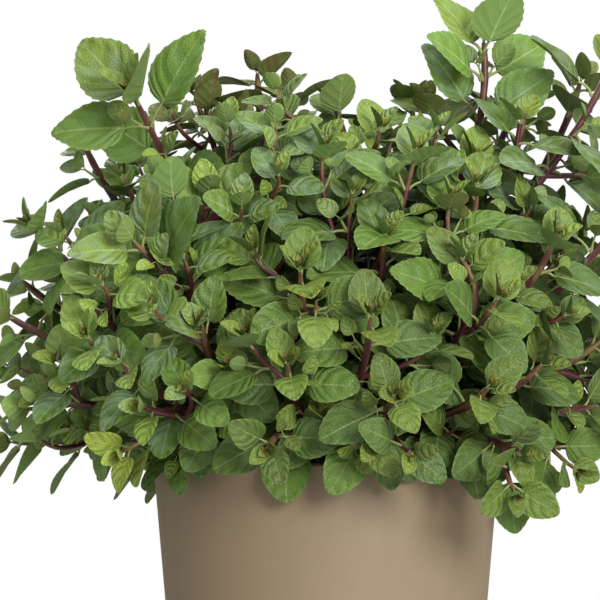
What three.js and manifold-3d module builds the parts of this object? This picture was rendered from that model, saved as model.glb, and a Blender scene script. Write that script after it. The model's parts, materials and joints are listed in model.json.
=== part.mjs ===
// A potted grapefruit mint: a bushy mint of square purple stems, with toothed leaves in opposite pairs that cross
// from pair to pair, rooted in a plain tapered pot. Millimetres, +Z up, origin at the centre of the pot's foot.
import * as THREE from 'three';
import { mergeVertices } from 'three/addons/utils/BufferGeometryUtils.js';
import Module from 'manifold-3d';

const wasm = await Module();
wasm.setup();

// Driving dimensions
const pot = { height: 172, rimRadius: 92, footRadius: 76, wall: 6, floor: 8, rounding: 1.5, sides: 34 };
const soil = { belowRim: 17, gap: 0.3 };
const bush = { halfWidth: 176, halfDepth: 146, top: 400, backStems: 15 };
const mainStem = { halfWidth: 2.5, tipShare: 0.6, rooted: 16, holeGap: 0.5, stepLength: 45 };
const sideStem = { halfWidth: 1.5, tipShare: 0.7, length: 46, stepLength: 16, share: 0.17 };
const blade = { ribThickness: 1.6, stalkHalfWidth: 0.9, widthShare: 0.42, arch: 0.16, fold: 0.2, toothDepth: 0.17 };
const clearance = 1; // kept between pieces that don't grow from each other

const colours = { pot: 0xa69273, soil: 0x33271d, mint: 0x4d7a38 };

// The tips that the photo shows, from the left of the crown to the rim: where each tip is, which way it points, the
// length of its largest blades, and how far that pair is turned from lying left to right. Some have a larger second
// pair, as a share of the largest, and face a lower light.
const frontTips = [
  { tip: [-102, -44, 369], lean: [-0.45, -0.8, 0.9], leaf: 42, turn: 20, topPair: 1, lightZ: -0.2 },
  { tip: [-132, 12, 352], lean: [-0.4, -0.05, 0.9], leaf: 27, turn: 30 },
  { tip: [-62, -67, 311], lean: [0.44, -0.8, 0.9], leaf: 36, turn: -80, lightZ: -0.4 },
  { tip: [-98, -95, 284], lean: [-0.8, -0.54, 0.8], leaf: 38, turn: -61, lightZ: -0.8 },
  { tip: [-38, 48, 398], lean: [-0.05, 0.1, 1], leaf: 31, turn: 50 },
  { tip: [-67, 40, 378], lean: [-0.2, 0.05, 1], leaf: 28, turn: 0 },
  { tip: [5, -25, 365], lean: [-0.34, -0.15, 0.9], leaf: 33, turn: 20 },
  { tip: [-19, 20, 382], lean: [0.05, 0.05, 1], leaf: 28, turn: 70 },
  { tip: [48, 30, 378], lean: [-0.1, 0.08, 1], leaf: 31, turn: 0 },
  { tip: [85, -15, 403], lean: [-0.1, -0.1, 1], leaf: 37, turn: 53, topPair: 0.95, lightZ: -0.35 },
  { tip: [110, 12, 381], lean: [0.04, -0.02, 1], leaf: 34, turn: 10 },
  { tip: [141, 25, 389], lean: [0.26, -0.05, 0.9], leaf: 34, turn: 60 },
  { tip: [152, -30, 389], lean: [0.36, -0.1, 0.9], leaf: 36, turn: 20 },
  { tip: [78, -62, 317], lean: [0.03, -0.35, 0.9], leaf: 33, turn: -15 },
  { tip: [68, -98, 274], lean: [-0.55, 0.12, 0.8], leaf: 32, turn: 31, lightZ: -0.8 },
  { tip: [116, -84, 287], lean: [0.3, -0.38, 0.8], leaf: 30, turn: 0 },
  { tip: [29, -92, 287], lean: [0.04, -0.5, 0.8], leaf: 31, turn: 40 },
  { tip: [-14, -117, 266], lean: [-0.06, -0.55, 0.8], leaf: 34, turn: 0 },
  { tip: [21, -128, 242], lean: [0.05, -0.45, 0.8], leaf: 30, turn: 5 },
  { tip: [-63, -107, 240], lean: [0, -0.75, 0.8], leaf: 31, turn: -37, lightZ: -0.8 },
  { tip: [-123, -72, 257], lean: [-0.55, -0.35, 0.7], leaf: 27, turn: 25 },
  { tip: [-170, -40, 254], lean: [-0.75, -0.2, 0.5], leaf: 29, turn: 0 },
  { tip: [-20, -136, 218], lean: [-0.03, -0.65, 0.6], leaf: 26, turn: 10 },
  { tip: [-104, -102, 222], lean: [-0.42, -0.5, 0.6], leaf: 25, turn: 30 },
  { tip: [-92, -98, 200], lean: [-0.5, -0.62, 0.25], leaf: 25, turn: 0 },
  { tip: [32, -132, 203], lean: [0.08, -0.72, 0.4], leaf: 28, turn: 20 },
  { tip: [79, -116, 208], lean: [0.3, -0.6, 0.5], leaf: 28, turn: -20 },
  { tip: [108, -86, 222], lean: [0.5, -0.42, 0.6], leaf: 29, turn: 10 },
  { tip: [96, -102, 178], lean: [0.42, -0.78, -0.1], leaf: 26, turn: 0 },
  { tip: [144, -42, 239], lean: [0.72, -0.2, 0.6], leaf: 30, turn: 35 },
  { tip: [-157, -18, 303], lean: [-0.6, -0.1, 0.75], leaf: 29, turn: 15 },
  { tip: [-30, -122, 178], lean: [-0.1, -0.85, -0.2], leaf: 27, turn: 30 },
  { tip: [140, -48, 204], lean: [0.8, -0.25, 0.15], leaf: 26, turn: 20 },
  { tip: [-149, -46, 208], lean: [-0.82, -0.2, 0.15], leaf: 26, turn: 0 },
  { tip: [21, -124, 180], lean: [0.05, -0.85, -0.1], leaf: 26, turn: 45 },
  { tip: [-164, 8, 276], lean: [-0.7, 0, 0.65], leaf: 28, turn: 40 },
  { tip: [152, -46, 300], lean: [0.5, -0.25, 0.8], leaf: 31, turn: 10 },
];

// The leaf pairs of a stem: how far each is back from the tip, its share of the largest blade's length, its stalk as a
// share of its blade, its lean away from the stem in degrees, how far it turns to the light, and its number of edge
// points on each side.
const mainPairs = [
  { back: 0.8, size: 0.44, stalk: 0.12, lean: 26, toLight: 0.15, edgePoints: 2 },
  { back: 7, size: 0.74, stalk: 0.2, lean: 48, toLight: 0.45, edgePoints: 4 },
  { back: 21, size: 1, stalk: 0.28, lean: 62, toLight: 0.65, edgePoints: 5 },
  { back: 44, size: 0.94, stalk: 0.34, lean: 72, toLight: 0.75, edgePoints: 4, onlyOver: 31 },
];
const sidePairs = [
  { back: 0.8, size: 0.55, stalk: 0.12, lean: 30, toLight: 0.3, edgePoints: 3 },
  { back: 11, size: 0.9, stalk: 0.25, lean: 60, toLight: 0.65, edgePoints: 4 },
];

// What is tried in turn for a leaf, until one lies clear: a turn about the stem, a lean and a share of its size.
const leafTries = [[0, 0, 1], [14, 0, 1], [-14, 0, 1], [0, -14, 1], [26, 8, 0.94], [-26, 8, 0.94], [0, 12, 0.9],
  [38, -8, 0.88], [-38, -8, 0.88], [12, -20, 0.8], [-12, 20, 0.8], [0, 0, 0.7]];
// What is tried in turn for a stem: how far its middle sways to one side, in millimetres.
const swayTries = [0, 12, -12, 24, -24, 36, -36, 48, -48];

// A repeatable number from 0 to 1 for three whole numbers.
function chance(a, b, c) {
  let h = 2166136261;
  for (const n of [a, b, c]) {
    h = Math.imul(h ^ n, 16777619);
    h ^= h >>> 15;
    h = Math.imul(h, 2246822507);
    h ^= h >>> 13;
  }
  return (h >>> 0) / 4294967296;
}

const radians = THREE.MathUtils.degToRad;
const rimZ = pot.height;
const soilZ = rimZ - soil.belowRim;

// The pot's outer radius at a height.
function potRadius(z) {
  return pot.footRadius + (pot.rimRadius - pot.footRadius) * z / pot.height;
}

// A closed geometry as a solid.
function solidOf(geometry) {
  const bare = geometry.clone();
  bare.deleteAttribute('normal');
  bare.deleteAttribute('uv');
  const merged = mergeVertices(bare, 1e-4);
  return new wasm.Manifold(new wasm.Mesh({
    numProp: 3,
    vertProperties: new Float32Array(merged.attributes.position.array),
    triVerts: new Uint32Array(merged.index.array),
  }));
}

// A solid as a geometry with flat faces.
function geometryOf(solid) {
  const mesh = solid.getMesh();
  const geometry = new THREE.BufferGeometry();
  geometry.setAttribute('position', new THREE.BufferAttribute(new Float32Array(mesh.vertProperties), 3));
  geometry.setIndex(new THREE.BufferAttribute(new Uint32Array(mesh.triVerts), 1));
  const faceted = geometry.toNonIndexed();
  faceted.computeVertexNormals();
  return faceted;
}

// A solid turned about the pot's axis, from its profile in radius and height.
function turned(profile) {
  const points = profile.map(([r, z]) => new THREE.Vector2(r, z));
  return solidOf(new THREE.LatheGeometry(points, pot.sides).rotateX(Math.PI / 2));
}

// The pot: straight tapered walls, a small bevel at the foot and a softly rounded rim.
function potSolid() {
  const { height, rimRadius, footRadius, wall, floor, rounding } = pot;
  return turned([
    [0, 0],
    [footRadius - rounding, 0],
    [potRadius(rounding), rounding],
    [potRadius(height - rounding), height - rounding],
    [rimRadius - rounding, height],
    [rimRadius - wall + rounding, height],
    [potRadius(height - rounding) - wall, height - rounding],
    [potRadius(floor) - wall, floor],
    [0, floor],
  ]);
}

// The soil: one root ball that fills the pot to below its rim, with a plain square hole for the foot of each stem.
function soilSolid(feet) {
  const inset = pot.wall + soil.gap;
  const bottomZ = pot.floor + soil.gap;
  const ball = turned([
    [0, bottomZ],
    [potRadius(bottomZ) - inset, bottomZ],
    [potRadius(soilZ) - inset, soilZ],
    [0, soilZ],
  ]);
  const width = 2 * (mainStem.halfWidth + mainStem.holeGap);
  const depth = mainStem.rooted + soil.gap;
  return feet.reduce((ground, { centre, side }) => {
    const hole = new THREE.BoxGeometry(width, width, 2 * depth);
    hole.rotateZ(Math.atan2(side.y, side.x)).translate(centre.x, centre.y, soilZ);
    return ground.subtract(solidOf(hole));
  }, ball);
}

// The tips at the back, which the photo doesn't show: round the far side, low and high in turn.
function backTip(i) {
  const around = radians(8 + 164 * (i + 0.5) / bush.backStems);
  const high = (0.35 + i * 0.618034) % 1;
  const z = 190 + high * 190;
  const ring = Math.sqrt(1 - (Math.max(0, z - 215) / (bush.top - 190)) ** 2);
  const [x, y] = [bush.halfWidth * ring * Math.cos(around), bush.halfDepth * ring * Math.sin(around)];
  const spread = 0.9 - 0.5 * high;
  return {
    tip: [x, y, z],
    lean: [spread * Math.cos(around), spread * Math.sin(around), 0.1 + 0.8 * high],
    leaf: 27 + 7 * chance(i, 3, 5),
    turn: 90 * chance(i, 4, 5),
  };
}

// Where each stem leaves the soil: below its tip's side of the bush, further out for a tip that hangs low. The roots
// then push each other apart until they are evenly spread.
function rootsFor(tips) {
  const reach = potRadius(soilZ) - pot.wall - 9;
  const apart = 13;
  const roots = tips.map(({ tip: [x, y, z] }) => {
    const across = Math.hypot(x, y);
    const slope = Math.atan2(across, z - soilZ) / (Math.PI / 2);
    return new THREE.Vector2(x, y).multiplyScalar(reach * slope ** 0.8 / across);
  });
  for (let round = 0; round < 40; round++)
    roots.forEach((a, i) => {
      roots.slice(i + 1).forEach((b) => {
        const push = (apart - a.distanceTo(b)) / 2;
        if (push <= 0) return;
        const away = b.clone().sub(a).setLength(push);
        a.sub(away);
        b.add(away);
      });
      a.clampLength(0, reach);
    });
  return roots;
}

// A stem's curve: straight up out of the soil, over the rim where the tip is beyond it, and on in its tip's direction.
function stemCurve(root, { tip, lean }, sway) {
  const start = new THREE.Vector3(root.x, root.y, soilZ);
  const end = new THREE.Vector3(...tip);
  const chord = start.distanceTo(end);
  const beyondRim = Math.hypot(end.x, end.y) > pot.rimRadius;
  const side = new THREE.Vector3(end.y - start.y, start.x - end.x, 0).setLength(sway);
  const riseZ = Math.max(start.z + 0.42 * chord, beyondRim ? rimZ + 38 : 0);
  const rise = new THREE.Vector3(start.x, start.y, riseZ);
  const approach = end.clone().addScaledVector(new THREE.Vector3(...lean).normalize(), -0.34 * chord);
  return new THREE.CubicBezierCurve3(start, rise, approach.add(side), end);
}

// The unit vector square to a stem's axis, at an angle from the one that lies most nearly left to right.
function sideways(axis, angle) {
  const level = new THREE.Vector3(1, 0, 0).addScaledVector(axis, -axis.x).normalize();
  const across = new THREE.Vector3().crossVectors(axis, level);
  return level.multiplyScalar(Math.cos(angle)).addScaledVector(across, Math.sin(angle));
}

// The rings of a square stem that tapers along a curve: where each is, its axis, the direction of one of its faces and
// half its width. At the tip that face is turned by an angle from left to right, and down the stem it twists as
// little as possible.
function ringsAlong(curve, { halfWidth, tipShare, stepLength }, turn) {
  const steps = Math.max(3, Math.round(curve.getLength() / stepLength));
  const rings = Array.from({ length: steps + 1 }, (_, i) => ({
    centre: curve.getPointAt(i / steps),
    axis: curve.getTangentAt(i / steps),
    half: halfWidth * (1 + (tipShare - 1) * i / steps),
  }));
  const side = sideways(rings[steps].axis, turn);
  for (const ring of rings.toReversed())
    ring.side = side.addScaledVector(ring.axis, -side.dot(ring.axis)).normalize().clone();
  return rings;
}

// A place on a stem, at a share of its length: its middle, its axis there and the direction of one of its faces.
function placeAlong(rings, share) {
  const i = Math.min(rings.length - 2, Math.floor(share * (rings.length - 1)));
  const [low, high] = [rings[i], rings[i + 1]];
  const axis = high.centre.clone().sub(low.centre).normalize();
  return {
    centre: low.centre.clone().lerp(high.centre, share * (rings.length - 1) - i),
    axis,
    side: high.side.clone().addScaledVector(axis, -high.side.dot(axis)).normalize(),
  };
}

// A square stem through its rings.
function stemSolid(rings, growth = 0) {
  const points = [];
  const triangles = [];
  rings.forEach(({ centre, axis, side, half }, ring) => {
    const across = new THREE.Vector3().crossVectors(axis, side);
    const reach = half + growth;
    for (const [x, y] of [[-1, -1], [1, -1], [1, 1], [-1, 1]])
      points.push(centre.clone().addScaledVector(side, x * reach).addScaledVector(across, y * reach));
    if (!ring) return;
    for (const i of [0, 1, 2, 3]) {
      const [a, b] = [4 * ring - 4 + i, 4 * ring - 4 + (i + 1) % 4];
      triangles.push(a, b, b + 4, a, b + 4, a + 4);
    }
  });
  const last = points.length - 4;
  triangles.push(0, 2, 1, 0, 3, 2, last, last + 1, last + 2, last, last + 2, last + 3);
  return solidOf(new THREE.BufferGeometry().setFromPoints(points).setIndex(triangles));
}

// The lower end of a main stem, straight down in its hole.
function footOf([lowest]) {
  return { ...lowest, centre: lowest.centre.clone().setZ(lowest.centre.z - mainStem.rooted) };
}

// The direction at an angle about a stem's axis, counted from one of its faces.
function outward({ axis, side }, angle) {
  const across = new THREE.Vector3().crossVectors(axis, side);
  return side.clone().multiplyScalar(Math.cos(angle)).addScaledVector(across, Math.sin(angle));
}

// A side stem's curve, from the middle of its parent, out at an angle and then up.
function sideCurve(from, angle, length) {
  const { centre: start, axis } = from;
  const out = outward(from, angle);
  const bend = start.clone().addScaledVector(out, 0.42 * length).addScaledVector(axis, 0.2 * length);
  const tip = start.clone().addScaledVector(out, 0.62 * length).addScaledVector(axis, 0.62 * length);
  return new THREE.QuadraticBezierCurve3(start, bend, tip);
}

// Half the width of a blade at a share of its length, as a share of its widest.
function ovate(s) {
  return Math.sqrt(1 - (2 * s ** 0.8 - 1) ** 2) * (1 - 0.2 * s ** 3);
}

// A leaf with its stalk: an egg-shaped, toothed blade, folded at the rib and arched to its tip. It is thick at the
// rib and thins to its edge. X runs from the stem's axis to the tip, Y across and Z out of the upper face. Both faces
// are split into triangles alike. A leaf that starts at the neck has no stalk, and growth makes it larger all round.
function leafGeometry({ length, stalk, edgePoints }, growth = 0, fromNeck = false) {
  const neck = 2 + stalk * length;
  const points = [];
  const add = (x, y, lift) => {
    const s = Math.max(0, (x - neck) / length);
    const z = length * blade.arch * (0.35 * s - s * s) + blade.fold * Math.abs(y) + lift;
    return points.push([x, y, z]) - 1;
  };
  const start = add(fromNeck ? neck - growth - 0.4 : -1.4, 0, 0);
  const tip = add(neck + length + growth, 0, 0);
  const edgeShares = [0, ...Array.from({ length: edgePoints }, (_, i) => (i + 0.55) / (edgePoints + 0.35))];
  const half = blade.widthShare * length;
  const triangles = [];
  const at = (s) => neck + s * length;
  const edges = [1, -1].map((side) => edgeShares.map((s, i) => {
    const toothed = half * ovate(s) * (i % 2 ? 1 : 1 - blade.toothDepth);
    return add(at(s), side * (Math.max(blade.stalkHalfWidth, toothed) + growth), 0);
  }));
  for (const layer of [1, -1]) {
    const rib = add(neck, 0, layer * (blade.ribThickness / 2 + growth));
    edges.forEach((edge, sideIndex) => {
      const rim = [start, ...edge, tip];
      const upright = (layer === 1) === (sideIndex === 0);
      rim.slice(1).forEach((b, i) => triangles.push(rib, ...(upright ? [b, rim[i]] : [rim[i], b])));
    });
  }
  const geometry = new THREE.BufferGeometry();
  geometry.setAttribute('position', new THREE.Float32BufferAttribute(points.flat(), 3));
  geometry.setIndex(triangles);
  return geometry;
}

// The direction that the light comes from at a place in the bush: from above, and from outside.
function lightAt({ x, y }, z) {
  return new THREE.Vector3(x / 160, (y - 50) / 75, z).normalize();
}

// Where a leaf stands: on a stem's axis, leaning away from it, and bent round by a share so that its upper face
// turns to the light.
function leafPlace(from, angle, lean, toLight, lightZ) {
  const { centre, axis } = from;
  const out = outward(from, angle);
  const light = lightAt(centre, lightZ);
  const along = axis.clone().multiplyScalar(Math.cos(lean)).addScaledVector(out, Math.sin(lean));
  along.addScaledVector(light, -toLight * along.dot(light)).normalize();
  const alongAxis = THREE.MathUtils.clamp(along.dot(axis), -0.4, 0.9);
  along.addScaledVector(axis, -along.dot(axis)).setLength(Math.sqrt(1 - alongAxis ** 2));
  along.addScaledVector(axis, alongAxis);
  const face = axis.clone().multiplyScalar(Math.sin(lean)).addScaledVector(out, -Math.cos(lean));
  face.addScaledVector(light, 2 * toLight);
  face.addScaledVector(along, -face.dot(along)).normalize();
  const across = new THREE.Vector3().crossVectors(face, along);
  return new THREE.Matrix4().makeBasis(along, across, face).setPosition(centre);
}

// The pieces placed so far, each with the stem that it belongs to. Free is the piece without its stalk.
const placed = [];

function place(owner, solid, free = solid) {
  placed.push({ owner, solid, free, box: solid.boundingBox() });
}

function boxesMeet(a, b) {
  return [0, 1, 2].every((i) => a.min[i] <= b.max[i] && b.min[i] <= a.max[i]);
}

function meets(a, b) {
  const common = a.intersect(b);
  const some = !common.isEmpty();
  common.delete();
  return some;
}

// Whether a piece lies clear of the other stems' pieces, and its blade, if it has one, of its own stem's too.
function isClear(owner, { grown, grownBlade }) {
  const box = grown.boundingBox();
  return placed.every((other) => {
    if (!boxesMeet(box, other.box)) return true;
    if (other.owner !== owner) return !meets(grown, other.solid);
    return !grownBlade || !meets(grownBlade, other.free);
  });
}

// The first piece that lies clear, made by a rule from what is tried in turn.
function firstClear(owner, tries, make) {
  for (const change of tries) {
    const made = make(change);
    if (isClear(owner, made)) return made;
  }
  return null;
}

// The leaves of one stem, in opposite pairs that cross from pair to pair. A leaf that lies clear nowhere is left out.
function growLeaves(stemNumber, owner, { rings, length }, pairs, { leaf, topPair, lightZ = 0.8 }) {
  pairs.forEach((pair, pairNumber) => {
    if (leaf < (pair.onlyOver ?? 0) || pair.back > length) return;
    const largest = leaf * (pairNumber === 1 && topPair ? topPair : pair.size);
    const from = placeAlong(rings, 1 - pair.back / length);
    for (const end of [0, 1]) {
      const drawn = (what) => chance(stemNumber * 16 + pairNumber * 2 + end, what, 7) - 0.5;
      const made = firstClear(owner, leafTries, ([turnBy, leanBy, size]) => {
        const shape = { ...pair, length: largest * size * (1 + 0.16 * drawn(1)) };
        const angle = radians(90 * pairNumber + 180 * end + 22 * drawn(2) + turnBy);
        const matrix = leafPlace(from, angle, radians(pair.lean + 14 * drawn(3) + leanBy), pair.toLight, lightZ);
        const solid = (...form) => solidOf(leafGeometry(shape, ...form).applyMatrix4(matrix));
        return { solid: solid(), blade: solid(0, true), grown: solid(clearance), grownBlade: solid(clearance, true) };
      });
      if (made) place(owner, made.solid, made.blade);
    }
  });
}

const tips = [...frontTips, ...Array.from({ length: bush.backStems }, (_, i) => backTip(i))];
const roots = rootsFor(tips);

// The pot comes first, then the main stems, the soil round their feet, the side stems and the leaves, each clear of
// all before it.
place('pot', potSolid());

const stems = tips.map((tip, i) => {
  const owner = `leafy_stem_${String(i + 1).padStart(2, '0')}`;
  const made = firstClear(owner, swayTries, (sway) => {
    const curve = stemCurve(roots[i], tip, sway);
    const rings = ringsAlong(curve, mainStem, radians(tip.turn));
    return { rings, length: curve.getLength(), grown: stemSolid(rings, clearance) };
  });
  if (!made) throw new Error(`${owner} has no clear way up`);
  place(owner, stemSolid([footOf(made.rings), ...made.rings]));
  return { owner, tip, ...made };
});

place('soil', soilSolid(stems.map(({ rings }) => rings[0])));

stems.forEach((stem, i) => {
  if (chance(i, 1, 9) > sideStem.share) return;
  const from = placeAlong(stem.rings, 0.5 + 0.2 * chance(i, 2, 9));
  const firstTurn = 90 * Math.floor(4 * chance(i, 3, 9));
  const made = firstClear(stem.owner, [0, 90, 180, 270], (turnBy) => {
    const curve = sideCurve(from, radians(firstTurn + turnBy), sideStem.length);
    const rings = ringsAlong(curve, sideStem, radians(45));
    return { rings, length: curve.getLength(), grown: stemSolid(rings, clearance) };
  });
  if (!made) return;
  place(stem.owner, stemSolid(made.rings));
  stem.side = made;
});

stems.forEach((stem, i) => {
  growLeaves(i, stem.owner, stem, mainPairs, stem.tip);
  if (stem.side) growLeaves(i + stems.length, stem.owner, stem.side, sidePairs, { leaf: 0.85 * stem.tip.leaf });
});

// The named meshes: the pot, the soil, and one for each leafy stem with all that grows from it
const materials = {
  pot: new THREE.MeshStandardMaterial({ color: colours.pot, roughness: 0.62, metalness: 0 }),
  soil: new THREE.MeshStandardMaterial({ color: colours.soil, roughness: 1, metalness: 0 }),
  mint: new THREE.MeshStandardMaterial({ color: colours.mint, roughness: 0.55, metalness: 0 }),
};

function meshFor(owner, material) {
  const grown = placed.filter((piece) => piece.owner === owner).map((piece) => piece.solid);
  const mesh = new THREE.Mesh(geometryOf(grown.reduce((whole, piece) => whole.add(piece))), material);
  mesh.name = owner;
  return mesh;
}

const pottedMint = new THREE.Group();
pottedMint.add(meshFor('pot', materials.pot), meshFor('soil', materials.soil));
for (const { owner } of stems) pottedMint.add(meshFor(owner, materials.mint));

export default pottedMint;
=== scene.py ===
# A potted grapefruit mint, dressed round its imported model. Each stem is grown again by the model's own rule,
# so that a finer leaf lies where the model has one, and side shoots, lower leaves and buds fill the bush
# between them.
import json
import math
import time

import bpy
import numpy as np
from mathutils import Matrix, Vector, noise
from mathutils.bvhtree import BVHTree

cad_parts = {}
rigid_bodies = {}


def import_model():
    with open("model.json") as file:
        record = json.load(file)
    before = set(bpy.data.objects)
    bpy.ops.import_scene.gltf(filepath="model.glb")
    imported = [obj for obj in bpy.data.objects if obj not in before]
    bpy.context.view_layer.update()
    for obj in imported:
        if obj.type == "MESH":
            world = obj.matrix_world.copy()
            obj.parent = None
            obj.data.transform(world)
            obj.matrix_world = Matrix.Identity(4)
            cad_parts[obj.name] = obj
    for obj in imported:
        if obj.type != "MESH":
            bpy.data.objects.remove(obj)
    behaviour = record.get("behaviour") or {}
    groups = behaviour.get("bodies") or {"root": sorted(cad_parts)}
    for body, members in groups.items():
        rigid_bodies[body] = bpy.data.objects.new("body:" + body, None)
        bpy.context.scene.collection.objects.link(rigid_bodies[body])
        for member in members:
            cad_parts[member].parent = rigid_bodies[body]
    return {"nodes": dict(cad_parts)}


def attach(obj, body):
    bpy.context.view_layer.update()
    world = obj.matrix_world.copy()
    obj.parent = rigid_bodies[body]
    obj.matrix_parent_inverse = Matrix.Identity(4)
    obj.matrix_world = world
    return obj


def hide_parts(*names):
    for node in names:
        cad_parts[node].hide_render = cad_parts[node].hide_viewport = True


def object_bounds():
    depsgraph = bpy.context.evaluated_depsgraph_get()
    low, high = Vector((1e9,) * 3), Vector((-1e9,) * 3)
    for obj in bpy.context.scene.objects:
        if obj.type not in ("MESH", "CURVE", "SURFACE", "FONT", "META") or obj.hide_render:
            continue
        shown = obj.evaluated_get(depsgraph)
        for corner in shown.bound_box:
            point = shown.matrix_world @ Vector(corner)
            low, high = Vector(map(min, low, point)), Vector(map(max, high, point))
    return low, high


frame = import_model()
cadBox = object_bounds()
mm = 0.001
startedAt = time.time()


def report(stage):
    print(f"{time.time() - startedAt:6.1f} s  {stage}")


# The model's own sizes, which the finer pieces keep to
pot = {"height": 172 * mm, "rimRadius": 92 * mm, "footRadius": 76 * mm, "wall": 6 * mm, "floor": 8 * mm}
soilZ = pot["height"] - 17 * mm
bush = {"halfWidth": 176 * mm, "halfDepth": 146 * mm, "top": 400 * mm}
mainStem = {
    "halfWidth": 2.5 * mm, "tipShare": 0.6, "rooted": 16 * mm, "stepLength": 45 * mm, "smoothStep": 5 * mm,
    "rise": 0.42, "overRim": 38 * mm, "approach": 0.34,
}
sideStem = {
    "halfWidth": 1.5 * mm, "tipShare": 0.7, "length": 46 * mm, "stepLength": 16 * mm, "smoothStep": 4 * mm,
    "share": 0.17, "bendOut": 0.42, "bendUp": 0.2, "end": 0.62, "faceTurn": 45, "leafShare": 0.85,
    "start": 0.5, "startSpread": 0.2,
}
blade = {"widthShare": 0.42, "arch": 0.16, "fold": 0.2, "toothDepth": 0.17, "neckGap": 2 * mm}
# Where leaves turn to and how far up that is, how much their faces turn with it, and how nearly they may
# point down or up their stem
light = {"width": 0.16, "middleY": 0.05, "depth": 0.075, "up": 0.8, "faceTurn": 2, "alongStem": (-0.4, 0.9)}
onModel = 0.3 * mm  # how near a point lies to the model's surface to count as on it
leafBox = (np.array(cadBox[0]) - 4 * mm, np.array(cadBox[1]) + 4 * mm)  # where this script's own leaves stay


# Tips are in millimetres and degrees, as in the model
def tipFrom(tip, lean, leaf, turn=0, more=None):
    return {"tip": tip, "lean": lean, "leaf": leaf, "turn": turn, **(more or {})}


# The tips that the photo shows, from the left of the crown to the rim, and how bronze the leaves are. topPair
# is the size of a tip's second pair, and lightZ how far up its leaves turn, where these aren't the usual
# ones.
frontTips = [tipFrom(*row) for row in (
    ((-102, -44, 369), (-0.45, -0.8, 0.9), 42, 20, {"topPair": 1, "lightZ": -0.2}),
    ((-132, 12, 352), (-0.4, -0.05, 0.9), 27, 30),
    ((-62, -67, 311), (0.44, -0.8, 0.9), 36, -80, {"lightZ": -0.4}),
    ((-98, -95, 284), (-0.8, -0.54, 0.8), 38, -61, {"lightZ": -0.8}),
    ((-38, 48, 398), (-0.05, 0.1, 1), 31, 50, {"bronze": 0.9}),
    ((-67, 40, 378), (-0.2, 0.05, 1), 28, 0, {"bronze": 0.8}),
    ((5, -25, 365), (-0.34, -0.15, 0.9), 33, 20, {"bronze": 0.2}),
    ((-19, 20, 382), (0.05, 0.05, 1), 28, 70, {"bronze": 0.7}),
    ((48, 30, 378), (-0.1, 0.08, 1), 31, 0, {"bronze": 0.3}),
    ((85, -15, 403), (-0.1, -0.1, 1), 37, 53, {"topPair": 0.95, "lightZ": -0.35}),
    ((110, 12, 381), (0.04, -0.02, 1), 34, 10, {"bronze": 0.3}),
    ((141, 25, 389), (0.26, -0.05, 0.9), 34, 60, {"bronze": 0.5}),
    ((152, -30, 389), (0.36, -0.1, 0.9), 36, 20, {"bronze": 0.4}),
    ((78, -62, 317), (0.03, -0.35, 0.9), 33, -15),
    ((68, -98, 274), (-0.55, 0.12, 0.8), 32, 31, {"lightZ": -0.8}),
    ((116, -84, 287), (0.3, -0.38, 0.8), 30, 0),
    ((29, -92, 287), (0.04, -0.5, 0.8), 31, 40),
    ((-14, -117, 266), (-0.06, -0.55, 0.8), 34, 0),
    ((21, -128, 242), (0.05, -0.45, 0.8), 30, 5),
    ((-63, -107, 240), (0, -0.75, 0.8), 31, -37, {"lightZ": -0.8}),
    ((-123, -72, 257), (-0.55, -0.35, 0.7), 27, 25),
    ((-170, -40, 254), (-0.75, -0.2, 0.5), 29, 0),
    ((-20, -136, 218), (-0.03, -0.65, 0.6), 26, 10),
    ((-104, -102, 222), (-0.42, -0.5, 0.6), 25, 30),
    ((-92, -98, 200), (-0.5, -0.62, 0.25), 25, 0),
    ((32, -132, 203), (0.08, -0.72, 0.4), 28, 20),
    ((79, -116, 208), (0.3, -0.6, 0.5), 28, -20),
    ((108, -86, 222), (0.5, -0.42, 0.6), 29, 10),
    ((96, -102, 178), (0.42, -0.78, -0.1), 26, 0),
    ((144, -42, 239), (0.72, -0.2, 0.6), 30, 35),
    ((-157, -18, 303), (-0.6, -0.1, 0.75), 29, 15),
    ((-30, -122, 178), (-0.1, -0.85, -0.2), 27, 30),
    ((140, -48, 204), (0.8, -0.25, 0.15), 26, 20),
    ((-149, -46, 208), (-0.82, -0.2, 0.15), 26, 0),
    ((21, -124, 180), (0.05, -0.85, -0.1), 26, 45),
    ((-164, 8, 276), (-0.7, 0, 0.65), 28, 40),
    ((152, -46, 300), (0.5, -0.25, 0.8), 31, 10),
)]

# The model's leaf pairs, in millimetres back from the tip, the smallest leaf of a tip that has the last pair,
# and the age of their leaves, from 0 in the bud to 1
mainPairs = [
    {"back": 0.8, "size": 0.44, "stalk": 0.12, "lean": 26, "toLight": 0.15, "edgePoints": 2, "age": 0.1},
    {"back": 7, "size": 0.74, "stalk": 0.2, "lean": 48, "toLight": 0.45, "edgePoints": 4, "age": 0.28},
    {"back": 21, "size": 1, "stalk": 0.28, "lean": 62, "toLight": 0.65, "edgePoints": 5, "age": 0.5},
    {"back": 44, "size": 0.94, "stalk": 0.34, "lean": 72, "toLight": 0.75, "edgePoints": 4, "age": 0.65,
     "onlyOver": 31},
]
sidePairs = [
    {"back": 0.8, "size": 0.55, "stalk": 0.12, "lean": 30, "toLight": 0.3, "edgePoints": 3, "age": 0.12},
    {"back": 11, "size": 0.9, "stalk": 0.25, "lean": 60, "toLight": 0.65, "edgePoints": 4, "age": 0.4},
]
# How much the model's leaves differ in size, turn and lean, and then a leaf's tries: its turn and lean in
# degrees and its share of the size
modelScatter = {"size": 0.16, "turn": 22, "lean": 14}
asDrawn = [(0, 0, 1)]
leafTries = asDrawn + [
    (14, 0, 1), (-14, 0, 1), (0, -14, 1), (26, 8, 0.94), (-26, 8, 0.94), (0, 12, 0.9), (38, -8, 0.88),
    (-38, -8, 0.88), (12, -20, 0.8), (-12, 20, 0.8), (0, 0, 0.7),
]
swayTries = [0, 12, -12, 24, -24, 36, -36, 48, -48]


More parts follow.
